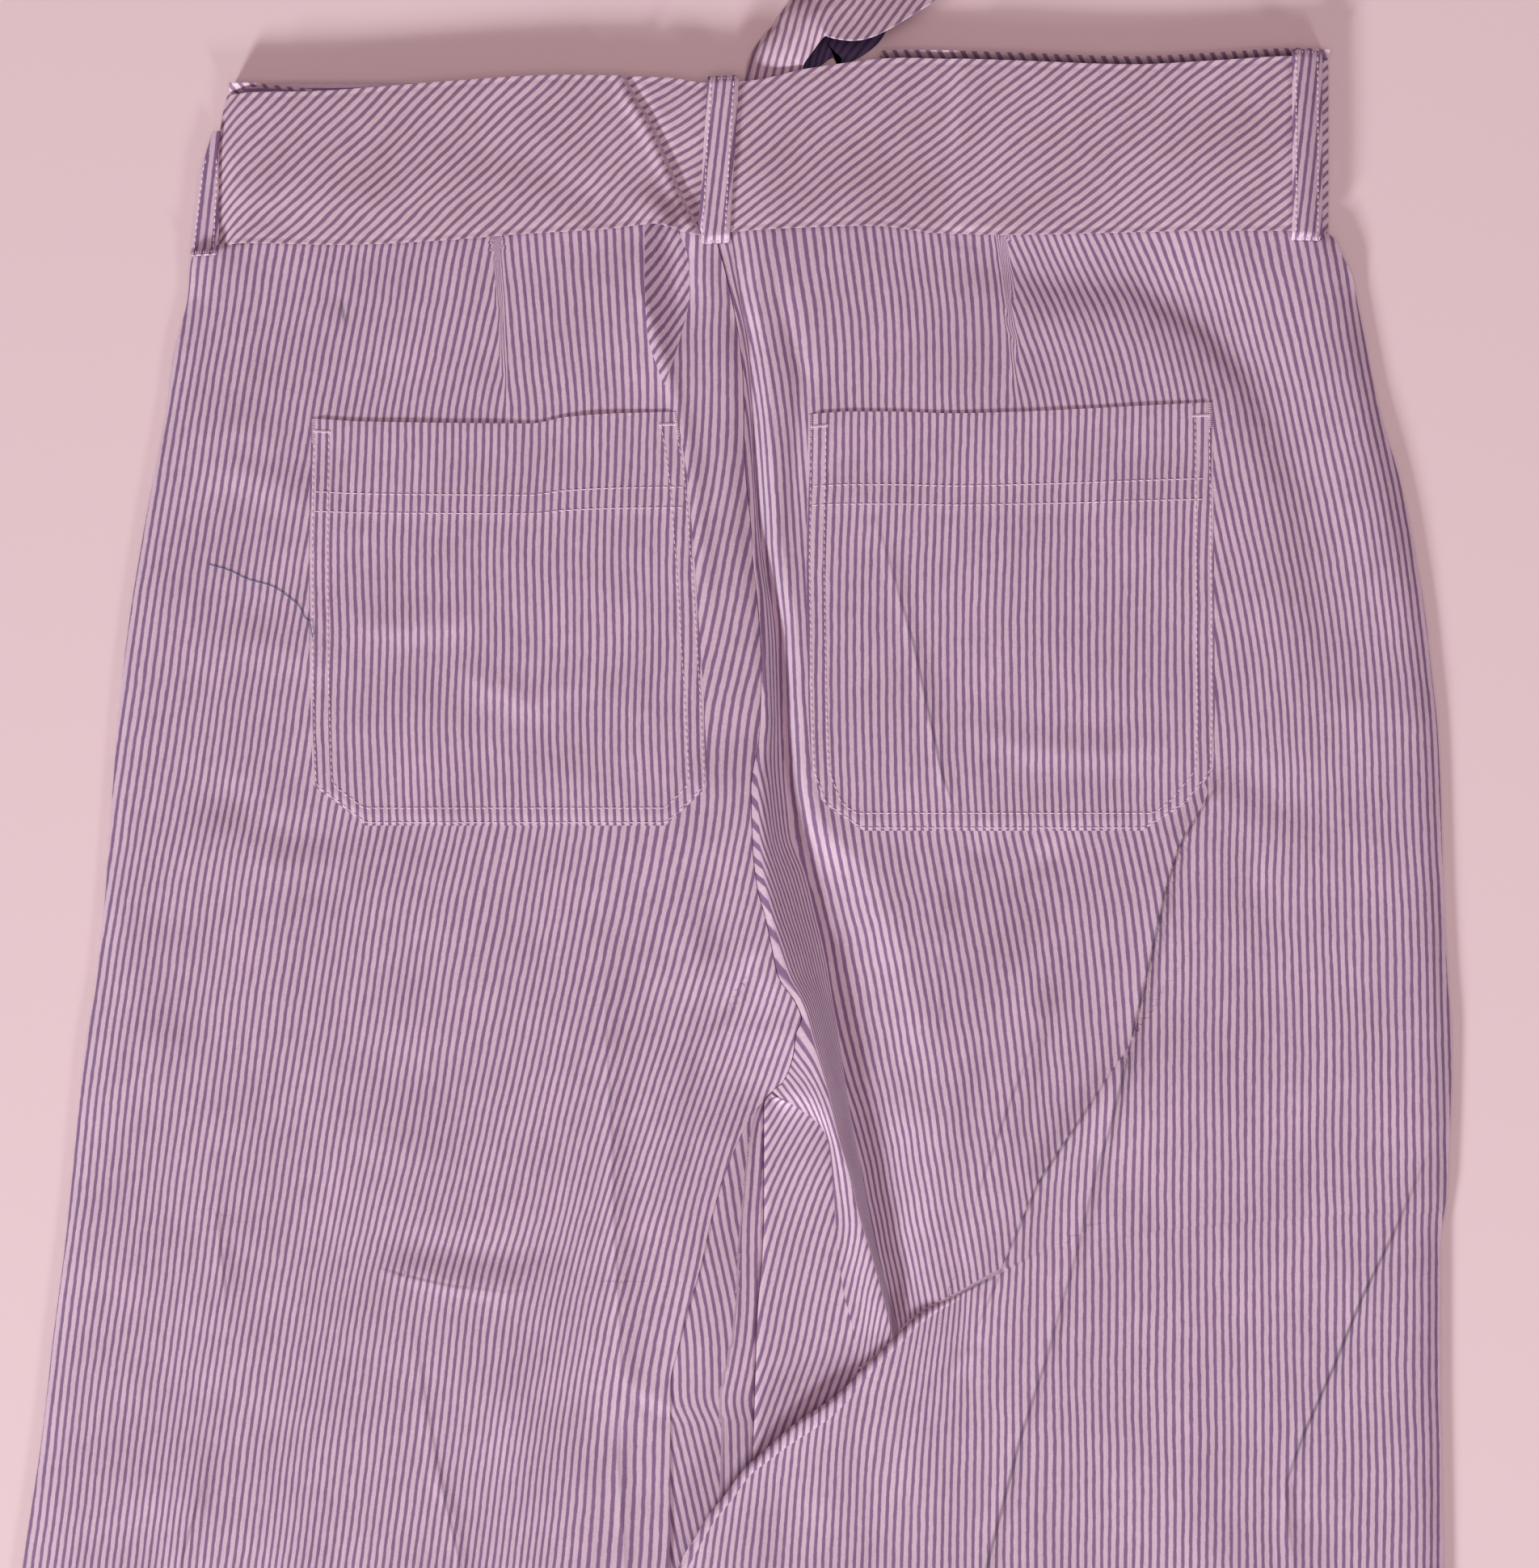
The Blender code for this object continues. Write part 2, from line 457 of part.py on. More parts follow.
def belt_back():
    """Back run of the belt, from its top edge to its low edge."""
    u, share = np.meshgrid(BELT_COLUMNS, np.linspace(0, 1, 6))
    across = mix(line(BELT_LEFT_END, share * BELT_WIDE), BELT_RIGHT, u)
    down = mix(line(BELT_TOP_EDGE, across), line(BELT_LOW_EDGE, across), share)
    across = mix(line(BELT_LEFT_END, down), BELT_RIGHT, u)
    return across, down, belt_high(across, down)


def belt_front(start, end):
    """A front run of the belt, flat on the floor under the front panels. Its top edge peeks
    out above the back run on the right."""
    u, share = np.meshgrid(np.linspace(0, 1, 7), (0, 0.5, 1))
    across = mix(start, end, u)
    peek = 1.8 * ease((across - 8) / 20) + 1.2 * ease((-150 - across) / 20)
    top = line(BELT_TOP_EDGE, across) - peek
    down = mix(top, top + BELT_WIDE, share)
    if end < 0:
        across = mix(line(BELT_LEFT_END, down), end, u)
    return across, down, np.full(across.shape, BELT_CLOTH / 2)


def waistband(middle, high_at_side):
    """One face of the waistband, between the runs of the belt."""
    u, down = np.meshgrid(np.linspace(0, 1, 15), (BAND_TOP, 23, PANEL_TOP - SEAM))
    across = mix(BAND_LEFT, BAND_RIGHT, u)
    high = side_roll(np.full(across.shape, middle), across - BAND_LEFT, high_at_side, 7)
    return across, down, side_roll(high, BAND_RIGHT - across, high_at_side, 7)


def loop_strip(rows):
    """A belt loop: from above the belt's top edge, over the belt at an even distance from its
    surface, and down to the panel below its low edge."""
    clear = (BELT_CLOTH + LOOP_CLOTH) / 2 + GAP + 0.45
    first = rows[0][0]
    shares = mix(first, 1, np.array((0, 0, 0, .12, .3, .5, .7, .88, 1, 1, 1)))
    out = np.array((-2.3, -1.9, -0.6, 0, 0, 0, 0, 0, 0.5, 2.0, 3.4))
    drop = np.array((3.6, 1.2, 0.2, 0, 0, 0, 0, 0, 0.1, 0, 0))
    if first > 0:
        shares, out, drop = shares[2:], out[2:] * 0, drop[2:] * 0
        out[-2:] = (2.0, 3.4)
    u, share = np.meshgrid((0, 0.3, 0.7, 1), shares)
    table = np.array(rows)
    left = np.interp(share, table[:, 0], table[:, 1])
    right = np.interp(share, table[:, 0], table[:, 2])
    across = mix(left, right, u)
    down = mix(line(BELT_TOP_EDGE, across), line(BELT_LOW_EDGE, across), share)
    step = 0.2
    high = belt_high(across, down)
    slope_a = (belt_high(across + step, down) - belt_high(across - step, down)) / (2 * step)
    slope_d = (belt_high(across, down + step) - belt_high(across, down - step)) / (2 * step)
    length = np.sqrt(1 + slope_a ** 2 + slope_d ** 2)
    across = across - clear * slope_a / length
    down = down - clear * slope_d / length + out[:, None]
    high = high + clear / length - drop[:, None]
    if first == 0:
        high[:3] = np.maximum(high[:3], np.array(LOOP_LOWEST)[:, None])
    resting = back_high(across, down) + (CLOTH + LOOP_CLOTH) / 2 + GAP + 0.1
    high[-1] = resting[-1]
    high[-2] = mix(resting[-2], high[-2], 0.45)
    return across, down, high


def tail_strip():
    """Free end of the belt: each section is the upper layer from its right edge to the fold on
    its left, then the layer folded under it, which lies near the floor."""
    table = np.array(TAIL)
    forward = np.gradient(table[:, :2], axis=0)
    forward /= np.linalg.norm(forward, axis=1)[:, None]
    right = np.stack([-forward[:, 1], forward[:, 0]], 1)
    turn = 1.1
    across, down, high = [], [], []
    for row, normal in zip(table, right):
        _, _, upper, under, middle_high, edge_high = row
        low = BELT_CLOTH / 2
        sections = (
            (0.5 * upper, edge_high),
            (0.25 * upper, mix(edge_high, middle_high, 0.6)),
            (0.0, middle_high),
            (-0.28 * upper, mix(middle_high, low + TAIL_TURN, 0.25)),
            (-0.44 * upper, mix(middle_high, low + TAIL_TURN, 0.6)),
            (-0.5 * upper, mix(low, low + TAIL_TURN, 0.8)),
            (-0.5 * upper - turn, mix(low, low + TAIL_TURN, 0.35)),
            (-0.5 * upper - 0.4 * turn, low),
            (-0.5 * upper + 0.5 * under, low),
            (-0.5 * upper + under, low),
        )
        across.append([row[0] + offset * normal[0] for offset, _ in sections])
        down.append([row[1] + offset * normal[1] for offset, _ in sections])
        high.append([value for _, value in sections])
    return np.array(across), np.array(down), np.array(high)


# ---------------------------------------------------------------- solids
def grid_normals(points):
    """Unit normals of a grid, from its differences along both directions, pointing up where
    the cloth lies flat."""
    along_u = np.gradient(points, axis=1)
    along_v = np.gradient(points, axis=0)
    normal = np.cross(along_u, along_v)
    normal /= np.linalg.norm(normal, axis=2)[:, :, None]
    return normal


def cloth_wall(name, surface, thickness, colour, upright=()):
    """Closed wall about a middle surface. The columns in upright keep a straight-up edge, so
    that a seam's gap stays even."""
    across, down, high = surface
    points = np.stack([across, -down, high], 2)
    normal = grid_normals(points)
    for column in upright:
        up = np.where(normal[:, column, 2] < 0, -1.0, 1.0)
        normal[:, column] = up[:, None] * np.array((0, 0, 1))
    outer = points + normal * thickness / 2
    inner = points - normal * thickness / 2
    rows, columns = across.shape
    index = np.arange(rows * columns).reshape(rows, columns)
    a, b = index[:-1, :-1].ravel(), index[:-1, 1:].ravel()
    c, d = index[1:, 1:].ravel(), index[1:, :-1].ravel()
    count = rows * columns
    faces = np.concatenate([np.stack([a, b, c, d], 1), np.stack([d, c, b, a], 1) + count])
    ring = np.concatenate([index[0, :-1], index[:-1, -1], index[-1, :0:-1], index[:0:-1, 0]])
    after = np.roll(ring, -1)
    rim = np.stack([after, ring, ring + count, after + count], 1)
    mesh = bpy.data.meshes.new(name)
    vertices = np.concatenate([outer.reshape(-1, 3), inner.reshape(-1, 3)]) * MM
    mesh.from_pydata(vertices.tolist(), [], np.concatenate([faces, rim]).tolist())
    shape = bmesh.new()
    shape.from_mesh(mesh)
    bmesh.ops.recalc_face_normals(shape, faces=shape.faces)
    shape.to_mesh(mesh)
    shape.free()
    mesh.materials.append(cloth_material(name, colour))
    piece = bpy.data.objects.new(name, mesh)
    bpy.context.collection.objects.link(piece)
    return piece


def cloth_material(name, colour):
    """Matt woven cotton."""
    material = bpy.data.materials.new(name + "_cloth")
    material.use_nodes = True
    shader = material.node_tree.nodes["Principled BSDF"]
    shader.inputs["Base Color"].default_value = (*colour, 1)
    shader.inputs["Roughness"].default_value = 0.85
    shader.inputs["Metallic"].default_value = 0
    return material


def centre_on_floor(pieces):
    """Moves the meshes so that the origin is the middle of the whole part's base."""
    corners = []
    for piece in pieces:
        points = np.empty(len(piece.data.vertices) * 3, np.float32)
        piece.data.vertices.foreach_get("co", points)
        points = points.reshape(-1, 3)
        corners += [points.min(0), points.max(0)]
    low = np.min(corners, 0)
    high = np.max(corners, 0)
    shift = np.array([(low[0] + high[0]) / 2, (low[1] + high[1]) / 2, low[2]])
    for piece in pieces:
        points = np.empty(len(piece.data.vertices) * 3, np.float32)
        piece.data.vertices.foreach_get("co", points)
        points = (points.reshape(-1, 3) - shift).astype(np.float32)
        piece.data.vertices.foreach_set("co", points.ravel())
        piece.data.update()
    return shift


def build():
    """Makes every piece and returns them with the shift of the origin."""
    for item in list(bpy.data.objects):
        bpy.data.objects.remove(item)
    front_band = BELT_CLOTH + GAP + CLOTH / 2
    pieces = [
        cloth_wall("back_left", left_back(WIDE_COLUMNS, DOWN_ROWS + LOWER_ROWS), CLOTH,
                   CLOTH_COLOUR, upright=(0,)),
        cloth_wall("back_right", right_back(RIGHT_COLUMNS, DOWN_ROWS), CLOTH, CLOTH_COLOUR,
                   upright=(0,)),
        cloth_wall("front_left", front_panel(-1, FRONT_ROWS), CLOTH, CLOTH_COLOUR),
        cloth_wall("front_right", front_panel(1, FRONT_ROWS), CLOTH, CLOTH_COLOUR),
        cloth_wall("waistband_back", waistband(BAND_HIGH, 3.6), CLOTH, CLOTH_COLOUR),
        cloth_wall("waistband_front", waistband(front_band, front_band), CLOTH, CLOTH_COLOUR),
        cloth_wall("pocket_left", pocket(LEFT_POCKET, POCKET_ROWS, POCKET_COLUMNS), CLOTH,
                   POCKET_COLOUR),
        cloth_wall("pocket_right", pocket(RIGHT_POCKET, POCKET_ROWS, POCKET_COLUMNS), CLOTH,
                   POCKET_COLOUR),
        cloth_wall("belt_back", belt_back(), BELT_CLOTH, BELT_COLOUR),
        cloth_wall("belt_front_left", belt_front(-199, TAIL_SLOT[0]), BELT_CLOTH, BELT_COLOUR),
        cloth_wall("belt_front_right", belt_front(TAIL_SLOT[1], BELT_RIGHT), BELT_CLOTH,
                   BELT_COLOUR),
        cloth_wall("belt_tail", tail_strip(), BELT_CLOTH, BELT_COLOUR),
    ]
    for name, rows in LOOPS:
        pieces.append(cloth_wall(name, loop_strip(rows), LOOP_CLOTH, POCKET_COLOUR))
    shift = centre_on_floor(pieces)
    return pieces, shift


build()
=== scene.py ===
"""Looks of the wide-leg striped trousers, laid flat with the back side up.

The solids stay as they are; every piece of cloth gets a thin shell on its solid's form, with
finer creases, and the cloth's own stripe. Lengths are in millimetres: across (to the right of
the centre line), down (from the top of the belt) and high (above the floor). place() turns
them into the frame's metres.
"""

import bpy
import numpy as np
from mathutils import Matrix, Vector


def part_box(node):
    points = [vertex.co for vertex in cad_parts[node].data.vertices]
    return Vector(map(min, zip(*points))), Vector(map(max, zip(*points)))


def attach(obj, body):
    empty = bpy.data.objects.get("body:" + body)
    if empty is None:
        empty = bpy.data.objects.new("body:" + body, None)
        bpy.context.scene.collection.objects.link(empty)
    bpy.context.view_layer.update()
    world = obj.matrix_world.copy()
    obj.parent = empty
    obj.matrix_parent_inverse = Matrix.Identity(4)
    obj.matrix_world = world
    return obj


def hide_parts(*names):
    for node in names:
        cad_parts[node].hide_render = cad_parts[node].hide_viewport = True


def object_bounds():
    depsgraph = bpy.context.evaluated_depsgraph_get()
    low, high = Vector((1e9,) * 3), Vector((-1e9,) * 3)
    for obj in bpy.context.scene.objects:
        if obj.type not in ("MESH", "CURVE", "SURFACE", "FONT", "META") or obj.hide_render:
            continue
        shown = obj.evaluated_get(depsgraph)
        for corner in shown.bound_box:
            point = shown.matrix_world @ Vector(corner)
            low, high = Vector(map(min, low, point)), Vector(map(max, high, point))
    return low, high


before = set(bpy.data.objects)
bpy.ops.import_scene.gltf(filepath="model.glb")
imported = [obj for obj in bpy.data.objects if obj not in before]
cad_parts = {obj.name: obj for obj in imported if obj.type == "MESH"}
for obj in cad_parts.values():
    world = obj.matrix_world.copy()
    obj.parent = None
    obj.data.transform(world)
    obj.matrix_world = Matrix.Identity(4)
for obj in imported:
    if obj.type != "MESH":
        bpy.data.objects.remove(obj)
cad_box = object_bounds()

MM = 0.001

# ---------------------------------------------------------------- sizes of the solids, mm
HEM = 1000.0
CROTCH = 357.0
PANEL_TOP = 45.0
BAND_TOP = 2.0
BAND_LEFT, BAND_RIGHT = -185.0, 187.0
LEVEL = 5.2
CLOTH = 1.0
BELT_CLOTH = 1.2
GAP = 0.3
SEAM = 0.3
TUCK_FOOT = 454.0
TUCK_STEP = 1.4
LEFT_FLAP_RISE, RIGHT_FLAP_RISE = 2.0, 3.4
FLAP_START = 345.0
FLAP_OPENS = 5.5
FLAP_TURN = 1.2          # radius of the leg's inner fold
CENTRE_FLAT = 6.6        # how far from the centre front the panel's last columns lie flat
UNDER_LEG_HIGH = 3.6     # the left leg's height where the right leg lies over it
OVER_LEFT_LEG = 1.9      # how much higher the right leg lies where it covers the left one
TUCK_ROLL_END = 82.0     # how far across the tuck's edge is rolled
LEFT_WRAP_LEANS = (-14.0, -2.0)      # of the wraps' stripes, left and right of their crease
RIGHT_WRAP_LEANS = (31.0, 18.0)      # at the crotch and 98 mm below it

# ---------------------------------------------------------------- the photo's framing
PX_PER_MM = 3.5
PHOTO_WIDTH, PHOTO_HEIGHT = 1904, 1940
PHOTO_ZERO = (952, 100)        # pixel of the centre line at the top of the belt
CAMERA_HIGH = 1.1              # metres above the floor

# ---------------------------------------------------------------- where the frame puts the garment
band_low, band_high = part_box("waistband_back")
ACROSS_MID = (BAND_LEFT + BAND_RIGHT) / 2 - (band_low.x + band_high.x) / 2 / MM
DOWN_MID = HEM + cad_box[0][1] / MM

# ---------------------------------------------------------------- outline, rows (down, across)
LEFT_SIDE = (
    (45, -186), (55, -187), (58, -191), (60, -199), (62, -202.8), (65, -203.8), (77, -205),
    (97, -210), (119, -213), (135, -216), (162, -221), (190, -225.5), (215, -228.5), (257, -232),
    (286, -234), (321, -237.5), (340, -241), (374, -244.5), (409, -248), (444, -252.5),
    (479, -256.5), (526, -263.5), (1000, -325),
)
RIGHT_SIDE = (
    (45, 188), (51, 189), (53, 192), (55, 197), (57, 199.5), (61, 201), (65, 203), (69, 205),
    (83, 208), (115, 214.5), (141, 222), (162, 226.5), (189, 231), (211, 233.5), (230, 235.5),
    (251, 236.5), (286, 237.5), (318, 239), (339, 240.5), (365, 240), (391, 239), (411, 236.5),
    (457, 236.5), (526, 237.5), (1000, 239),
)
CENTRE_SEAM = (
    (45, -19), (57, -18.6), (67, -16), (78, -13.5), (89, -11.3), (97, -10.3), (108, -9.4),
    (126, -9.1), (140, -8.6), (154, -7.1), (171, -5.7), (189, -4), (209, -2.9), (229, -3.4),
    (250, -6.6), (271, -6), (285, -4.4), (294, -1.9), (303, 0.1), (316, 2.9), (325, 8.9),
    (331, 11.1), (336, 9.1), (343, 8.3), (353, 4.7), (357, 0),
)
LEFT_INSEAM = (
    (357, 0), (364, -5.4), (373, -10.6), (385, -15.4), (399, -20), (417, -24), (431, -28),
    (445, -31.7), (461, -35.1), (512, -35), (560, -39), (650, -48), (760, -58), (880, -69),
    (1000, -80),
)
RIGHT_INSEAM = (
    (357, 0), (362, 9.1), (370, 18.5), (377, 20.9), (398, 22.6), (425, 25.4), (440, 29),
    (448, 30.2), (455, 31.4), (471, 34.3), (485, 24), (500, 14), (526, 6), (600, 2), (700, -3),
    (800, -7), (900, -11), (1000, -14),
)
LEFT_LEG_FOLD = (
    (357, 0), (361, -2), (399, -2), (415, -2.6), (436, -4.3), (459, -5.1), (478, -5.7),
    (526, -8.2), (600, -14), (700, -25), (800, -36), (900, -46.5), (1000, -57),
)
RIGHT_LEG_FOLD = (
    (357, 0), (361, -2), (399, -2), (415, -2.6), (436, -4.3), (459, -5.1), (478, -5.7),
    (526, -8.2), (600, -12), (700, -17), (800, -21.5), (900, -25.5), (1000, -28),
)
RIGHT_LOWER_EDGE = (
    (526, -31.7), (560, -33), (620, -31), (700, -27), (800, -25.5), (900, -26.5), (1000, -28),
)

# ------------------------------- the long valley of the right panel, rows (down, value)
CREST = (
    (45, -16.5), (67, -13.9), (90, -9.4), (160, -5.2), (192, -1.8), (225, -1.5), (243, -4.2),
    (267, -3.5), (281, -2), (294, 0.6), (304, 3.2), (316, 6.6), (325, 11.4), (331, 13.4),
    (337, 14.8), (344, 16.8), (356, 20.3), (371, 23.7), (385, 27.7), (400, 31.4), (415, 36),
    (431, 40.3), (441, 42.6), (459, 46), (471, 50),
)
VALLEY = (
    (45, -13), (80, -10), (89, -8), (97, -7), (123, -5.8), (140, -5.2), (161, -3.2), (179, -0.4),
    (193, 2.2), (207, 3.4), (224, 4), (243, 5), (267, 7.5), (281, 13), (294, 16), (304, 18.5),
    (313, 20.5), (329, 23), (347, 25.8), (363, 28.2), (387, 32.8), (413, 37.9), (429, 42.2),
    (444, 46), (459, 50), (471, 54),
)
SHOULDER_WIDTH = (
    (45, 10), (90, 7), (190, 8), (240, 9), (258, 12), (280, 24), (357, 38), (444, 26), (471, 18),
)
SEAM_HIGH = (
    (45, 5.0), (57, 4.8), (80, 4.2), (90, 3.4), (160, 3.2), (190, 4.2), (225, 5.5), (250, 7.5),
    (285, 9), (316, 10), (331, 10), (345, 8.5), (357, 6.5),
)
RIGHT_INSEAM_HIGH = (
    (357, 6.4), (365, 6.2), (372, 6.6), (380, 7.0), (400, 6.8), (425, 6.2), (440, 5.6),
    (450, 5.0), (471, 4.2), (485, 3.9), (526, 3.4), (1000, 3.2),
)
LEFT_INSEAM_HIGH = (
    (357, 6.5), (364, 6.6), (373, 7.0), (400, 7.0), (445, 5.6), (461, 4.6), (480, 3.7),
    (526, 3.6), (1000, 3.6),
)
CREST_HIGH = (
    (45, 5), (80, 3.9), (90, 2.9), (160, 2.8), (190, 3.9), (225, 5.6), (250, 7.6), (285, 9.6),
    (316, 10.3), (331, 10.3), (345, 9.8), (357, 9.4), (385, 9), (415, 8.2), (431, 7.2), (441, 6),
    (450, 5.2), (471, 4.8),
)
VALLEY_HIGH = (
    (45, 4.8), (80, 3.2), (90, 2.0), (130, 1.8), (190, 1.6), (240, 1.8), (267, 1.6), (300, 1.4),
    (357, 1.4), (400, 1.6), (444, 2.6), (471, 3.6),
)
SHOULDER_HIGH = ((45, 5), (90, 5.8), (190, 6), (240, 5.8), (300, 6), (400, 6), (471, 5.2))
SIDE_HIGH = ((45, 3.6), (62, 3.6), (80, 2.2), (1000, 2.2))
SEAM_SLOPE_WIDTH = (
    (45, 6), (90, 3), (190, 4), (250, 16), (316, 22), (357, 14), (400, 10), (461, 8), (1000, 8),
)

# ------------------------------- the diagonal tuck of the right leg, rows (across, value)
TUCK_START = (32.5, 455.4)
TUCK_ENDS = 90.0         # how far across the tuck fades into flat cloth
TUCK_LIP = (
    (-31.7, 525.7), (-24, 511.4), (-20, 505), (-14.3, 498), (-8.3, 489.7), (-2.6, 484.6),
    (4.5, 478), (11.4, 472.3), (19.7, 467), (26.6, 461.7), (32.5, 455.4), (39.4, 449),
    (44.2, 444.3), (51.2, 437.4), (58, 432.6), (66, 428.5), (72, 425.2), (80, 420.5), (100, 413),
    (150, 405), (200, 401), (240, 400),
)
TUCK_HIGH = (
    (-31.7, 7.9), (-20, 8.4), (0, 9.4), (12, 9.8), (26, 9.0), (45, 7.6), (60, 6.4), (76, 5.4),
    (90, 5.2),
)
LOWER_STARTS = (       # across and down of a row's inner end, and how level the row is
    (32.5, 455.4, 0), (19.7, 467, .12), (4.5, 478, .22), (-8.3, 489.7, .32), (-20, 505, .44),
    (-31.7, 525.7, .58), (-32.8, 552, .74), (-32.2, 590, .88), (-30.2, 640, 1), (-27, 700, 1),
    (-25.8, 770, 1), (-25.9, 850, 1), (-26.8, 925, 1), (-28, 1000, 1),
)
RIGHT_KNOTS = (0, .10, .25, .40, 1)     # inner edge, crest, valley, shoulder, side
KNOT_COLUMNS = (9, 14, 20, 110)         # of the shell, from one to the next

# ------------------------------- folds (kind, width left, width right, rows of across, down,
# height). The first rows of each table are the solids' folds, the rest are finer creases.
LEFT_FOLDS = (
    ("ridge", 7, 7, ((-36, 46, -2.4), (-35, 60, -2.9), (-33, 78, -2.0), (-31, 96, 0))),
    ("ridge", 10, 7, ((-50, 60, 0), (-45.7, 80, 0.8), (-40, 100, 0.9), (-32, 117, 0))),
    ("step", 8, 7, ((-142, 413, 0), (-124, 416, 0.45), (-91, 419, 0.5), (-70, 415, 0))),
    ("ridge", 12, 9, ((-60, 300, 0), (-55, 340, 0.7), (-54, 409, 0.9), (-51, 460, 0.7),
     (-53, 500, 0.5), (-58, 560, 0))),
    ("ridge", 30, 24, ((-120, 520, 0), (-130, 600, 1.6), (-150, 760, 2.0), (-170, 920, 0.6))),
    ("ridge", 26, 30, ((-205, 560, 0), (-215, 680, 1.4), (-236, 860, 1.6), (-250, 1000, 0.8))),
)
LEFT_CREASES = (
    ("ridge", 2.5, 3, ((-44, 46, 0.4), (-44.5, 66, 0.9), (-44, 78, 1.1), (-38, 98, 1.0),
     (-32, 116, 0.8), (-27, 138, 0.6), (-23, 170, 0.5), (-20, 200, 0))),
    ("ridge", 1.6, 2, ((-34, 45, -0.6), (-28.5, 62, -0.9), (-28, 76, -0.6), (-31, 92, 0))),
    ("ridge", 4, 2, ((-194, 380, 0), (-192, 414, 0.5), (-189, 426, 0.5), (-192, 440, 0))),
    ("ridge", 2, 2.5, ((-139, 419, 0), (-126, 421, 0.3), (-112, 425, 0.4), (-92, 427, 0.3),
     (-80, 426, 0))),
    ("ridge", 1.6, 2.2, ((-128, 430, 0), (-118, 491, 0.4), (-112, 505, 0.5), (-109, 521, 0.5),
     (-104, 560, 0))),
    ("ridge", 5, 2.5, ((-196, 480, 0), (-200, 502, 0.9), (-206, 519, 0.9), (-212, 560, 0))),
    ("ridge", 2, 3, ((-58, 305, 0), (-56, 339, 0.5), (-55, 374, 0.6), (-54, 409, 0.6),
     (-52, 444, 0.6), (-50, 460, 0.6), (-53, 488, 0.5), (-51, 514, 0.5), (-52, 550, 0))),
    ("ridge", 6, 9, ((-205, 142, 0), (-188, 138, 0.7), (-168, 146, 0.5), (-160, 154, 0))),
    ("ridge", 5, 7, ((-206, 126, 0), (-186, 124, 0.5), (-168, 129, 0))),
    ("ridge", 6, 8, ((-206, 202, 0), (-184, 199, 0.6), (-160, 204, 0.3), (-150, 210, 0))),
    ("ridge", 8, 7, ((-206, 262, 0), (-190, 254, -0.8), (-176, 256, 0))),
    ("step", 8, 8, ((-200, 262, 0), (-170, 272, 0.4), (-130, 270, 0))),
    ("ridge", 4, 4, ((-158, 74, 0), (-152, 78, -0.4), (-145, 88, 0))),
    ("ridge", 2.5, 2, ((-4.3, 308, 0), (-8, 317, -1.6), (-14, 326, -1.4), (-22, 338, 0))),
    ("ridge", 8, 6, ((-30, 280, 0), (-25, 310, 1.6), (-32, 345, 1.9), (-36, 380, 1.3),
     (-44, 420, 0))),
    ("ridge", 5, 4, ((-40, 330, 0), (-41, 370, 0.9), (-44, 410, 0))),
    ("step", 3.5, 3.5, ((-54, 458, 0), (-44, 465, -0.25), (-37, 469, -0.3), (-30, 471, 0))),
    ("ridge", 7, 7, ((-150, 330, 0), (-120, 338, 0.35), (-90, 334, 0))),
    ("ridge", 6, 6, ((-150, 372, 0), (-128, 376, 0.3), (-104, 382, 0))),
    ("ridge", 10, 8, ((-230, 300, 0), (-215, 340, 0.5), (-222, 390, 0))),
    ("ridge", 9, 12, ((-95, 440, 0), (-88, 480, 0.8), (-86, 520, 0.7), (-88, 580, 0))),
    ("ridge", 12, 10, ((-160, 440, 0), (-158, 480, 0.6), (-164, 530, 0.8), (-170, 620, 0))),
    ("ridge", 3, 3, ((-33, 500, 0), (-31, 505, -0.4), (-33, 512, 0))),
    ("ridge", 5, 7, ((-150, 190, 0), (-130, 194, 0.7), (-112, 192, 0.5), (-96, 186, 0))),
    ("ridge", 5, 6, ((-112, 204, 0), (-98, 214, 0.6), (-84, 220, 0.7), (-66, 210, 0.3),
     (-56, 200, 0))),
)
RIGHT_FOLDS = (
    ("ridge", 10, 16, ((79, 63, -1.0), (99, 70, -1.8), (128, 70, -2.2), (142, 78, -2.4),
     (157, 89, -2.4), (171, 106, -2.4), (179, 120, -2.2), (188, 143, -2.0), (192, 169, -1.6),
     (196, 197, -0.8), (197, 222, 0))),
    ("ridge", 12, 10, ((150, 262, 0), (136, 300, 0.6), (122, 350, 1.4), (106, 372, 2.2),
     (91, 397, 2.2), (82, 424, 1.6), (78, 460, 0.6), (74, 500, 0))),
    ("ridge", 9, 9, ((104, 285, 0), (96, 326, 0.7), (84, 374, 0.9), (78, 417, 0))),
    ("ridge", 26, 30, ((60, 520, 0), (66, 620, 1.8), (72, 780, 2.2), (70, 940, 0.8))),
    ("ridge", 24, 26, ((165, 480, 0), (160, 600, 1.5), (166, 760, 1.9), (170, 1000, 0.9))),
)
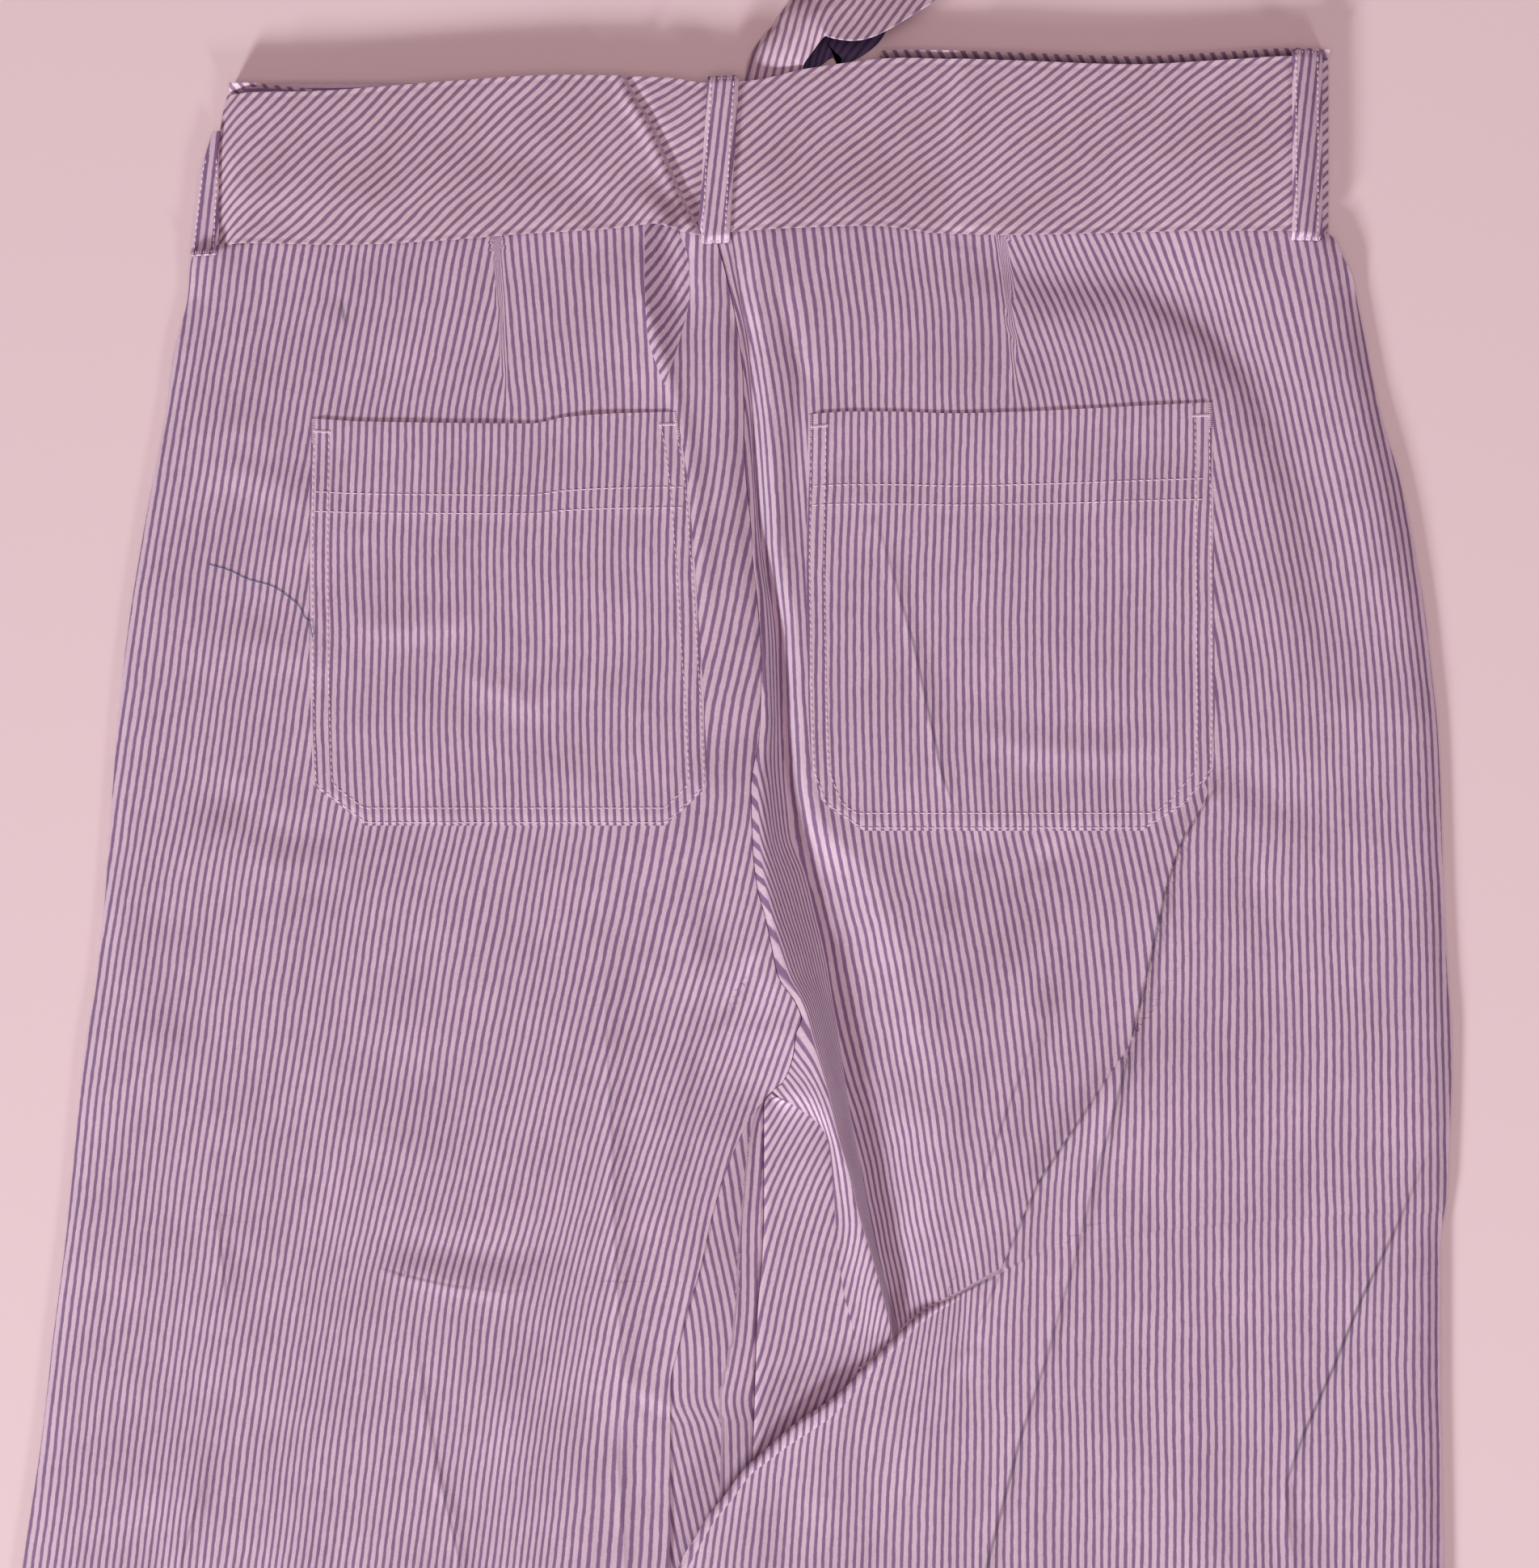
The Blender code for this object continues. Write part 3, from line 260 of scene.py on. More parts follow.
RIGHT_CREASES = (
    ("ridge", 1.7, 2.2, ((-8.5, 96, 0), (-7, 118, -0.9), (-5.2, 145, -1.0), (-3.4, 162, -0.9),
     (2.3, 193, -0.9), (4, 224, -0.9), (6, 250, -1.0), (13.4, 281, -0.9), (18.6, 304, -0.7),
     (25.8, 347, -0.5), (32.8, 387, -0.5), (42, 429, 0))),
    ("ridge", 3.5, 2.2, ((-12, 150, 0), (-4.4, 180, 1.4), (-1.6, 205, 2.0), (-0.5, 230, 2.2),
     (-1.2, 262, 1.8), (0.4, 290, 1.0), (6, 318, 0))),
    ("ridge", 2.6, 6, ((-2, 92, 0), (0.5, 112, 0.6), (1, 140, 0.7), (3, 165, 0.6),
     (7.5, 190, 0.7), (9.6, 222, 0.9), (12, 250, 1.1), (19, 281, 0.9), (25, 306, 0.7),
     (33, 345, 0.5), (40, 388, 0.4), (48, 430, 0))),
    ("ridge", 3, 3.5, ((5, 72, 0), (6.6, 86, -1.0), (11.7, 106, -1.7), (9.4, 131, -1.6),
     (8, 154, -1.2), (5, 180, 0))),
    ("ridge", 4.0, 2.0, ((156, 251, 0.6), (144.5, 269, 1.9), (139.5, 284, 2.1),
     (132.5, 315, 2.1), (127, 338, 1.9), (119, 371, 1.7), (115, 384, 1.6), (108, 413, 1.5),
     (98, 448, 1.4), (88, 479, 1.3), (77, 521, 1.3), (66, 570, 0))),
    ("ridge", 14, 7, ((98, 292, 0), (84, 314, 2.0), (70, 338, 2.8), (60, 368, 2.8),
     (54, 392, 2.0), (48, 420, 0))),
    ("ridge", 6, 3.5, ((100, 318, 0), (95.5, 330, 1.4), (90, 352, 1.8), (83, 372, 1.8),
     (72.5, 402, 1.4), (68, 420, 0))),
    ("ridge", 3.5, 4.5, ((125, 342, 0), (109.7, 365, 1.6), (94.3, 388, 2.1), (83.7, 413, 2.0),
     (76.9, 430, 1.6), (74, 446, 0))),
    ("ridge", 4, 6, ((78, 262, 0), (72, 272, -1.2), (66, 284, -1.0), (60, 300, 0))),
    ("ridge", 4, 5, ((110, 266, 0), (98, 274, -0.9), (80, 288, 0))),
    ("ridge", 3.4, 1.7, ((233, 376, 0), (219, 407, 1.1), (208.6, 428, 1.2), (198, 454, 1.2),
     (187.7, 477, 1.2), (181.4, 495, 0.9), (183, 512, 0.6), (186, 540, 0))),
    ("ridge", 8, 9, ((150, 240, 0), (166, 245, -0.8), (184, 256, -0.8), (194, 262, 0))),
    ("ridge", 7, 9, ((170, 262, 0), (171, 285, -0.7), (172, 310, 0))),
    ("ridge", 2.5, 3, ((74.6, 424, 0), (73.4, 436, 0.8), (69.7, 448, 0.9), (62, 457, 0.9),
     (53.4, 471, 0.7), (50, 483, 0.4), (48, 500, 0))),
    ("ridge", 9, 12, ((40, 470, 0), (39, 495, -0.9), (40, 530, -0.9), (38, 600, 0))),
    ("ridge", 6, 7, ((24, 480, 0), (20, 500, 0.5), (18, 540, 0.4), (18, 600, 0))),
    ("ridge", 6, 8, ((215, 120, 0), (206, 150, 0.5), (212, 190, 0))),
    ("ridge", 9, 8, ((206, 230, 0), (212, 270, 0.5), (206, 320, 0))),
    ("ridge", 6, 5, ((30, 60, 0), (28, 84, 0.5), (26, 112, 0))),
    ("ridge", 5, 6, ((40, 270, 0), (42, 292, 0.5), (52, 330, 0.5), (60, 352, 0))),
    ("ridge", 10, 9, ((150, 400, 0), (146, 440, 0.6), (148, 500, 0.6), (152, 560, 0))),
    ("ridge", 3, 3, ((62, 266, 0), (64, 285, -0.4), (70, 310, 0))),
    ("ridge", 4, 4, ((118, 72, 0), (150, 92, 0.5), (164, 108, 0.5), (170, 126, 0))),
    ("ridge", 1.5, 2.5, ((36.6, 154, 0), (44, 176, 0.5), (50.9, 200, 0.6), (60.9, 246, 0.6),
     (69, 262, 0))),
    ("ridge", 5, 6, ((66, 226, 0), (90, 236, 0.6), (120, 238, 0.6), (144, 232, 0))),
)

# ------------------------------- painted shade of sharp creases: a thin dark line painted into
# the cloth's colour along each pinched crease, rows (across, down, strength)
LEFT_PAINTED_CREASE_SHADE = (
    ((-58, 309, 0), (-57, 340, 0.4), (-55, 374, 0.5), (-54, 409, 0.5), (-52, 444, 0.45),
     (-53, 488, 0.4), (-51, 514, 0.4), (-50, 540, 0)),
    ((-194, 388, 0), (-193, 410, 0.6), (-191, 426, 0.6), (-192, 437, 0)),
    ((-126, 434, 0), (-120, 470, 0.4), (-114, 500, 0.6), (-109, 521, 0.6), (-106, 540, 0)),
    ((-139, 418, 0), (-130, 421, 0.7), (-112, 425, 0.5), (-92, 427, 0.2), (-80, 426, 0)),
    ((-197, 487, 0), (-202, 505, 0.6), (-206, 519, 0.5), (-209, 532, 0)),
    ((-151, 77, 0), (-150.4, 80, 0.9), (-149.8, 84, 0.9), (-149.4, 87, 0)),
)
RIGHT_PAINTED_CREASE_SHADE = (
    ((156, 251, 0.4), (144.5, 269, 0.9), (139.5, 284, 1), (132.5, 315, 0.9), (127, 338, 0.9),
     (119, 371, 0.7), (115, 384, 0.6), (108, 413, 0.5), (98, 448, 0.6), (88, 479, 0.9),
     (77, 521, 0.9), (66, 570, 0)),
    ((125, 342, 0), (109.7, 365, 0.8), (94.3, 388, 0.9), (83.7, 413, 0.6), (76.9, 430, 0.5),
     (70, 446, 0)),
    ((233, 376, 0), (219, 407, 0.8), (208.6, 428, 1), (198, 454, 1), (187.7, 477, 1),
     (181.4, 495, 0.6), (183, 512, 0.4), (186, 530, 0)),
    ((48, 440, 0), (58, 432.6, 0.9), (66, 428.5, 1), (72, 425.2, 1), (78, 422, 0.7),
     (80, 421, 0)),
    ((62, 294, 0), (60, 310, 0.4), (60, 330, 0.4), (57, 344, 0)),
    ((96, 332, 0), (86, 356, 0.5), (76, 384, 0.5), (70, 404, 0)),
)
POCKET_PAINTED_CREASE_SHADE = (
    ((36.6, 152, 0), (40, 163, 0.4), (44, 176, 0.5), (50.9, 200, 0.9), (60.9, 246, 0.9),
     (68, 264, 0)),
)

# ------------------------------- lean of the stripes in degrees, + where the top leans right.
# Each row is a height down the garment, each column a place across, given in the first row.
LEFT_LEAN = (
    ("at", -232, -209, -186, -163, -141, -118, -95, -72, -49, -26, -4),
    (45, 6, 6, 7, 10, 5, 4, 3, 2, -1, 2, 0), (68, 6, 6, 7, 10, 5, 4, 3, 2, -1, 2, 0),
    (97, 8, 8, 8, 8, 8, 6, 4, -1, 1, 0, -2), (126, 9, 9, 9, 10, 8, 6, 4, 4, 4, 5, 0),
    (154, 10, 11, 11, 10, 8, 6, 4, 3, 3, 3, -1), (183, 10, 10, 10, 7, 6, 5, 4, 2, 0, -3, -2),
    (211, 9, 9, 10, 6, 6, 6, 5, 4, 2, 0, 2), (240, 9, 10, 10, 8, 8, 8, 7, 6, 3, -3, 2),
    (268, 9, 11, 10, 11, 11, 13, 12, 9, 8, 10, 10), (297, 9, 8, 8, 9, 9, 10, 11, 10, 12, 15, 16),
    (326, 8, 8, 8, 9, 9, 9, 11, 13, 16, 16, 17), (354, 7, 8, 8, 9, 9, 9, 12, 12, 17, 19, 19),
    (383, 6, 7, 9, 9, 11, 12, 12, 12, 18, 16, 16), (411, 7, 7, 8, 9, 14, 16, 16, 15, 16, 12, 12),
    (440, 8, 8, 10, 9, 9, 6, 7, 11, 13, 10, 10), (468, 7, 8, 9, 9, 7, 7, 8, 8, 5, 4, 4),
    (497, 7, 7, 7, 7, 7, 8, 8, 6, 2, 1, 1), (530, 7, 7, 7, 7, 7, 7, 7, 6, 4, 4, 4),
    (1000, 7.5, 7.5, 7.2, 7, 7, 6.5, 6, 6, 6, 6, 6),
)
RIGHT_LEAN = (         # from the waist down, behind the pocket and beside it
    ("at", -12, 4, 19, 42, 65, 88, 111, 134, 157, 179, 202, 232),
    (45, -8, -9, -9, -11, -14, -15, -20, -20, -14, -11, -7, -5),
    (68, -8, -9, -8, -10, -13, -14, -19, -20, -14, -11, -7, -6),
    (97, -10, -9, -5, -4, -6, -9, -12, -12, -12, -14, -10, -8),
    (126, -6, -6, -3, -3, -3, -4, -6, -6, -9, -12, -12, -10),
    (154, -4, -4, -3, -3, -3, -4, -6, -8, -11, -12, -11, -9),
    (183, -3, -3, -3, -3, -3, -4, -6, -8, -10, -10, -8, -6),
    (211, 4, 3, 0, -3, -4, -5, -6, -7, -6, -5, -4, -4),
    (240, 4, 3, -2, -4, -5, -5, -5, -4, -2, -2, -2, -2),
    (268, -10, -10, -8, -6, -6, -6, -6, -3, 1, 3, -2, -3),
    (500, -10, -10, -9, -8, -6, -4, -2, -1, -1, -1, -1, -1),
)
NEAR_LEAN = (          # below the right pocket, between the valley and the bunched crease
    ("at", -12, 4, 12, 19, 42, 65, 88, 111, 134, 157),
    (45, -8, -8, -8, -8, -9, -9, -9, -9, -9, -9), (240, 3, 0, -2, -6, -7, -8, -9, -10, -10, -10),
    (268, -13, -12, -11, -10, -8, -8, -10, -11, -11, -10),
    (297, -24, -20, -16, -11, -10, -9, -10, -8, -7, -6),
    (326, -32, -30, -20, -12, -9, -9, -6, -5, -3, -2),
    (342, -40, -40, -38, -16, -9, -9, -6, -4, -2, 0),
    (357, -42, -42, -40, -22, -10, -8, -7, -3, 0, 0),
    (383, -30, -30, -28, -18, -11, -8, -9, -2, 0, 0),
    (411, -17, -17, -17, -14, -11, -12, -7, 0, 0, 0), (460, -14, -14, -14, -13, -9, -4, 0, 0, 0, 0),
    (500, -14, -14, -14, -13, -9, -4, 0, 0, 0, 0),
)
FAR_LEAN = (           # right of the bunched crease
    ("at", 60, 111, 134, 157, 179, 202, 232),
    (45, 0, 0, -8, -14, -11, -7, -6), (97, 0, 0, -8, -12, -14, -10, -8),
    (126, 0, 0, -5, -9, -12, -12, -10), (154, 0, 0, -6, -11, -12, -11, -9),
    (183, 0, 0, -5, -10, -10, -8, -6), (211, 0, 0, -4, -6, -5, -4, -4),
    (240, 0, -2, -3, -2, -2, -2, -2), (268, -3, -3, -2, 1, 3, -2, -3),
    (297, -2, -2, -1, 0, -2, -2, -2), (354, -1, -1, 0, 0, 0, 0, -1),
    (383, 2, 3, 1, 0, 0, -1, -1), (411, 0, 0, 0, 0, -1, -1, -1), (500, 0, 0, 0, 0, 0, 0, -1),
)
BUNCH = (
    (45, 150), (243, 150), (251, 154), (256, 152), (269, 144.5), (284, 139.5), (315, 132.5),
    (338, 127), (350, 119.5), (365, 109.7), (388, 94.3), (413, 83.7), (430, 76.9), (471, 70),
)            # that crease, (down, across)
FLANK_EXTRA = (
    (45, 0), (90, 3), (190, 4), (230, 6), (260, 14), (290, 26), (340, 32), (400, 26), (430, 14),
    (454, 6),
)     # cloth gathered into the valley's left side, (down, mm)
LOWER_LEAN = (
    ("at", -32, -10, 20, 45, 70, 100, 235),
    (400, 12, 8, 5, 10, 4, 0, 0), (440, 12, 8, 5, 10, 3, 0, 0), (470, 13, 8, 5, 9, 0, -1, -1),
    (500, 15, 7, 3, 3, 0, 0, 0), (530, 11, 4, 2, 0, 0, 0, 0), (560, 6, 3, 0, 0, 0, 0, 0),
    (1000, -1, 0, 0, 0, 0, 0, 0),
)
DARTS = (              # (line from the waist to the tip as across, down), lean it adds, reach
    ((-97.1, 50), (-92.6, 117), 9.7, 45),
    ((82.3, 50), (86.6, 114), 9.7, 45),
)

# the lens-shaped dip of the left panel beside the centre seam, under the belt
DIP_LEFT = ((45, -43.5), (52, -44), (68, -44), (89, -43), (109, -37))
DIP_RIGHT = ((45, -36), (52, -33), (64, -28.5), (76, -28), (90, -31), (109, -37))
DIP_FOOT = 109.0
DIP_LEAN = 33.0
LEFT_LEG_PITCH = 1.05        # the left leg's stripes lie a little closer together

# ------------------------------- pockets, rows (down, left edge, right edge)
LEFT_POCKET = (
    (119, -161.1, -32.6), (143, -161.6, -28.6), (171, -162, -26.3), (214, -161.6, -23.4),
    (249, -160.6, -21.6), (256, -151, -28.6), (263.2, -142, -36.5),
)
RIGHT_POCKET = (
    (116.5, 13.7, 155.7), (143, 13.4, 156), (171, 12.9, 156.3), (222, 13.7, 156.6),
    (244, 14.6, 156), (255, 18.5, 147), (265, 33, 131),
)

LEFT_MOUTH = (
    (-161, 1), (-143, 2.1), (-112, 2.6), (-84, 2.8), (-72, 0.6), (-55, -0.7), (-33, -1.3),
)                # how far the mouth hangs, rows (across, down)
RIGHT_MOUTH = (
    (14, 2.1), (28, 1.2), (42, 1.2), (65, 1.8), (88, 1.2), (111, 0.1), (128, -0.8), (156, -2.2),
)
LEFT_POCKET_LEAN = ((119, 1), (154, 2.5), (183, -1.5), (211, 2.5), (240, -3), (265, -3))
RIGHT_POCKET_LEAN = ((119, 0.5), (154, 2), (183, 0.5), (211, -0.5), (240, -1.5), (265, -3))

# ------------------------------- sash belt, rows (across, down)
BELT_TOP_EDGE = (
    (-198, 5.9), (-191, 5.8), (-158, 5.2), (-138, 3.8), (-112, 1.7), (-72, -0.5), (-35, 0.6),
    (-21, 2.4), (-6, 1.5), (14, -2.8), (48, -6.5), (85, -5.6), (128, -4.2), (157, -5.6),
    (185, -7.1), (198, -6.5),
)
BELT_LOW_EDGE = (
    (-198, 59.2), (-186, 58.5), (-150, 59.3), (-112, 57.6), (-89, 55.6), (-58, 53.6), (-41, 52.0),
    (-26, 55.6), (-6, 54.2), (14, 53.3), (37, 52.7), (59, 55), (85, 55.6), (128, 54.7),
    (157, 54.2), (198, 54.2),
)
BELT_FOLDS = (
    ("step", 2.6, 2.0, ((-52, -2, 0.7), (-48.6, 6, 1.0), (-42.9, 15, 1.2), (-36.6, 28.6, 1.2),
     (-32, 39.7, 1.2), (-28.6, 47, 1.0), (-24, 57, 0.8))),
    ("ridge", 13, 3, ((62.6, -10, -1.0), (62.6, 30, -1.0), (62.6, 56, -0.6))),
    ("ridge", 6, 6, ((-44, 38, 0), (-35.5, 54, 3.4), (-29, 46, 0))),
    ("ridge", 20, 20, ((-150, 44, 0.8), (-90, 36, 0.6), (-60, 30, 0))),
    ("ridge", 22, 18, ((100, 34, 0), (140, 30, 0.9), (185, 34, 0.5))),
    ("ridge", 10, 14, ((-36, 12, 0), (-28, 30, -0.9), (-22, 50, -0.9))),
    ("ridge", 7, 6, ((-112, 22, 0), (-84, 30, -0.4), (-62, 44, -0.5), (-50, 54, 0))),
    ("ridge", 9, 8, ((-190, 50, -0.5), (-140, 53, -0.4), (-100, 46, 0))),
    ("ridge", 6, 26, ((-22, 54, 0.5), (0, 54, 2.0), (30, 54, 2.0), (56, 54, 0.4))),
    ("ridge", 6, 20, ((-190, 58, 0.6), (-140, 58, 1.0), (-90, 56, 0.8), (-60, 53, 0))),
)
BELT_LEFT_END = ((0, -189.5), (15, -193.2), (30, -194.5), (58, -194))    # rows (down, across)
BELT_RIGHT = 197.0
BELT_TURN = 5.0
BELT_WIDE = 57.0
BELT_HIGH = 7.0
BELT_CREASE = (
    (-2, -52), (6, -48.6), (15, -42.9), (28.6, -36.6), (39.7, -32), (47, -28.6), (57, -24),
)      # the diagonal crease left of the middle, rows (down, across)
BELT_LEFT_LEAN = 46.5
BELT_LEAN = ((-60, 63), (-36, 62), (-22, 56), (-10, 50.5), (10, 50), (30, 51), (198, 51.5))
BELT_PITCH = 0.95            # its stripes lie a little further apart than the trousers'
BELT_MIDDLE = 28.0           # down
RIGHT_PEEK, LEFT_PEEK = 3.2, 4.0     # how far the front runs stand out above the back run
EDGE_CURL = 4.6              # how far their top edge rises from the floor
BAND_ROLL = 7.0              # width over which the waistband rounds down at its ends
BAND_HIGH = 4.6
TAIL_SLOT = (-12.0, 39.0)
TAIL_TURN = 2.2          # height of the fold between its two layers
TAIL_FOLD = 1.1          # radius of that fold
LOOPS = (      # rows (share of the belt's width, left, right)
    ("loop_centre", ((0, -21.4, -11.1), (1, -24.6, -13.9))),
    ("loop_right", ((0, 183.6, 193.2), (1, 183.6, 193.2))),
    ("loop_left", ((0.24, -196.0, -193.0), (0.5, -200.2, -193.4), (1, -203.4, -194.6))),
)
LOOP_CLOTH = 1.4
LOOP_RUN = (           # share of the belt's width, how far past it downwards, and how far lower
    (0, -2.3, 3.6), (0, -1.9, 1.2), (0, -0.6, 0.2), (.12, 0, 0), (.3, 0, 0), (.5, 0, 0),
    (.7, 0, 0), (.88, 0, 0), (1, 0.5, 0.1), (1, 2.0, 0), (1, 3.4, 0),
)
TAIL = (       # across, down, width of the upper layer and the under layer, heights
    (2.0, 2.4, 18.5, 19, 4.3, 4.2),
    (2.4, -2.8, 18.0, 19, 5.4, 5.0),
    (4.4, -7.8, 17.0, 18.5, 6.8, 6.0),
    (8.8, -13.4, 16, 20.5, 8.2, 7.6),
    (14.8, -20.8, 17.5, 26.5, 9, 9.6),
    (28.0, -26.0, 30, 32, 9, 10.5),
    (42.0, -38.0, 38, 24, 8, 9.5),
    (58.0, -53.0, 44, 12, 6.5, 8.0),
    (78.0, -68.0, 50, 5.5, 5.0, 5.5),
    (102.0, -80.0, 54, 2.5, 3.0, 3.0),
    (130.0, -88.0, 55, 1.2, 2.2, 2.2),
    (160.0, -91.0, 55, 1.2, 2.2, 2.2),
    (190.0, -89.0, 55, 1.2, 3.4, 2.6),
    (220.0, -84.0, 55, 1.2, 2.6, 2.2),
    (250.0, -78.0, 55, 1.2, 2.2, 2.2),
)
TAIL_UPPER_COLUMNS = 46      # of the section's 60 columns; the others are the under layer
POCKET_LIFT = 0.46       # from the panel's middle surface to the pocket's
POCKET_EDGE = 0.14       # the same at its sewn edges
HEM_DEEP = 35.0          # a pocket's turned hem, which stands 0.12 mm proud
MOUTH_SWAY = 70.0        # how far down the sway of a pocket's mouth fades out
SEAM_BEAD = 3.8          # how far inside its sewn edge a pocket bulges over its seam allowance
SEAM_UNDERLAP = 1.0      # how far the front's inseam edge reaches under the back's
STRIPE = 2.8             # width of one dark and one pale stripe together
DARK_SHARE = 0.43        # of the dark one
PASS_TOP, PASS_TALL = 125.0, 125.0   # where the waist's stripes pass into the leg's
WAIST_ROW, LOWER_ROW = 119, 520      # rows where a stripe's coordinate is its place across
LEFT_LEG_ROW, RIGHT_LEG_ROW = 370, 350
LEFT_WANDER, RIGHT_WANDER = 1.3, 2.6
BIAS = 0.7071            # cosine and sine of a bias cut
STITCH_SHARE = 0.78      # of a stitch's pitch that its thread covers
HEM_STITCHES = (26, 33)  # rows of stitches below a pocket's mouth
EDGE_STITCHES = (1.1, 6.2)   # and inside its sewn edges
HEM_PITCH, EDGE_PITCH, LOOP_PITCH = 2.6, 2.4, 2.3
POCKET_THREAD, LOOP_THREAD, LOOSE_THREAD = 0.17, 0.22, 0.16      # radii

# ---------------------------------------------------------------- fineness of the shells, mm
STEP_DOWN = 2.3          # row spacing where the photo looks
STEP_LEG = 8.0           # row spacing of the legs below the photo's edge
PHOTO_FOOT = 530.0       # how far down the photo looks
SHELL = 0.7              # thickness of the shells
POCKET_SHELL = 0.5

# ---------------------------------------------------------------- colours
CLOTH_PALE = "cfb8c8"
CLOTH_DARK = "826489"
BELT_PALE = "d1bac6"
BELT_DARK = "886786"
# painted shade: the sash end's under layer is the same cloth, coloured this dark to stand in for
# the deep shade inside its fold
PAINTED_SHADE_PALE = "5c4a6c"        # the sash end's inner side, dark navy in the photo
PAINTED_SHADE_DARK = "3a3158"
FLOOR_COLOUR = "e8d3d5"
STITCH_COLOUR = "dccad5"
THREAD_BLUE = "5a6f92"
DAYLIGHT = "f9fdff"
WARM_LIGHT = "ffe0e4"
ROOM_LIGHT = "f7dde6"


# ---------------------------------------------------------------- numbers
def line(rows, at):
    """Smooth line through rows of (position, value): a cubic from row to row whose slope at
    each row is the harmonic mean of its neighbours', so it never overshoots; level beyond."""
    x, y = np.array(rows, float).T
    step = np.diff(x)
    slope = np.diff(y) / step
    tangent = np.zeros_like(y)
    product = slope[:-1] * slope[1:]
    turning = product <= 0
    total = np.where(turning, 1.0, slope[:-1] + slope[1:])
    tangent[1:-1] = np.where(turning, 0.0, 2 * product / total)
    tangent[0] = slope[0]
    tangent[-1] = slope[-1]
    at = np.clip(np.asarray(at, float), x[0], x[-1])
    k = np.clip(np.searchsorted(x, at, side="right") - 1, 0, len(step) - 1)
    t = (at - x[k]) / step[k]
    start = y[k] * (1 + 2 * t) * (1 - t) ** 2 + step[k] * tangent[k] * t * (1 - t) ** 2
    end = y[k + 1] * t * t * (3 - 2 * t) - step[k] * tangent[k + 1] * t * t * (1 - t)
    return start + end


def smooth(table, places):
    """Points of the smooth line through a table's rows, at places counted in rows."""
    order = np.arange(len(table))
    columns = np.array(table, float).T
    return np.stack([line(np.stack([order, column], 1), places) for column in columns], 1)


def unit(vectors):
    """The same directions with length one."""
    return vectors / np.linalg.norm(vectors, axis=1)[:, None]


def ease(t):
    """Zero below 0, one above 1, a smooth S between."""
    t = np.clip(t, 0, 1)
    return t * t * (3 - 2 * t)


def mix(a, b, share):
    """The point at that share of the way from a to b."""
    return a + (b - a) * share


def nearest_part(across, down, rows):
    """Distance to a line through rows of (across, down, value), the side it lies on, 1 or -1,
    and the value at the line's nearest point."""
    nearest = np.full(across.shape, 1e9)
    side = np.ones(across.shape)
    value = np.zeros(across.shape)
    points = np.array(rows, float)
    for a, b in zip(points[:-1], points[1:]):
        run = b[:2] - a[:2]
        t = ((across - a[0]) * run[0] + (down - a[1]) * run[1]) / (run @ run)
        t = np.clip(t, 0, 1)
        off_a = across - a[0] - t * run[0]
        off_d = down - a[1] - t * run[1]
        distance = np.hypot(off_a, off_d)
        closer = distance < nearest
        turned = np.where(run[1] * off_a - run[0] * off_d < 0, -1.0, 1.0)
        nearest = np.where(closer, distance, nearest)
        side = np.where(closer, turned, side)
        value = np.where(closer, mix(a[2], b[2], t), value)
    return nearest, side, value


def fold(across, down, kind, left, right, rows):
    """Height that one fold adds: the distance to its line, divided by the width on that side,
    gives a bell for a ridge, and the bell times the distance for a step."""
    distance, side, height = nearest_part(across, down, rows)
    signed = distance * side
    reach = signed / np.where(signed < 0, left, right)
    bell = np.exp(-reach ** 2)
    if kind == "ridge":
        return height * bell
    return -height * reach * bell * np.sqrt(2 * np.e)


def painted_crease_shade(across, down, table):
    """Signed distance to a table's creases and the strength of the nearest one, which place the
    shade painted into the cloth's colour along them. The distances blend as a smooth least of
    their sizes with the product of their signs, so the blend is zero along each crease alone."""
    least = np.zeros(across.shape)
    sign = np.ones(across.shape)
    nearest = np.full(across.shape, 1e9)
    strength = np.zeros(across.shape)
    for rows in table:
        distance, side, power = nearest_part(across, down, rows)
        distance = np.maximum(distance, 1e-3)
        least = least + distance ** -4.0
        sign = sign * side
        strength = np.where(distance < nearest, power, strength)
        nearest = np.minimum(distance, nearest)
    return sign * least ** -0.25, strength / MM


def folds(across, down, table):
    """All the folds of a table added up."""
    return sum(fold(across, down, *row) for row in table)


def side_roll(high, distance, low, width=5.0):
    """The cloth's height, brought down to low over the last few millimetres of an edge."""
    return high - (high - low) * np.exp(-(np.maximum(distance, 0) / width) ** 1.4)


def rumple(across, down, size, seed):
    """Slow uneven swell between -1 and 1: a sum of six sine waves whose directions and
    lengths spread evenly about the given size."""
    total = np.zeros(np.shape(across))
    for k in range(6):
        turn = seed + k * 2.399
        length = size * (0.7 + 0.17 * k)
        total = total + np.sin((across * np.cos(turn) + down * np.sin(turn)) * 6.283 / length
                               + seed * 1.7 + k * k)
    return total / 6


# ---------------------------------------------------------------- stripes
LEAN_STEP = 1.5
LEAN_ACROSS = np.arange(-350, 266, LEAN_STEP)
LEAN_DOWN = np.arange(40, 1004, LEAN_STEP)


def lean_field(table):
    """The lean at every point of a raster, as its tangent: straight between the table's
    columns and smooth between its rows, plus what each dart adds on its two sides."""
    at = table[0][1:]
    down = [row[0] for row in table[1:]]
    columns = [line(tuple(zip(down, [row[k] for row in table[1:]])), LEAN_DOWN)
               for k in range(1, len(table[0]))]
    field = np.array([np.interp(LEAN_ACROSS, at, values) for values in np.array(columns).T])
    across, down = np.meshgrid(LEAN_ACROSS, LEAN_DOWN)
    for start, tip, amount, reach in DARTS:
        middle = mix(start[0], tip[0], (down - start[1]) / (tip[1] - start[1]))
        away = across - middle
        fade = np.exp(-np.abs(away) / reach) * ease((tip[1] + 8 - down) / 16)
        field = field - np.sign(away) * amount * fade
    return np.tan(np.radians(field))


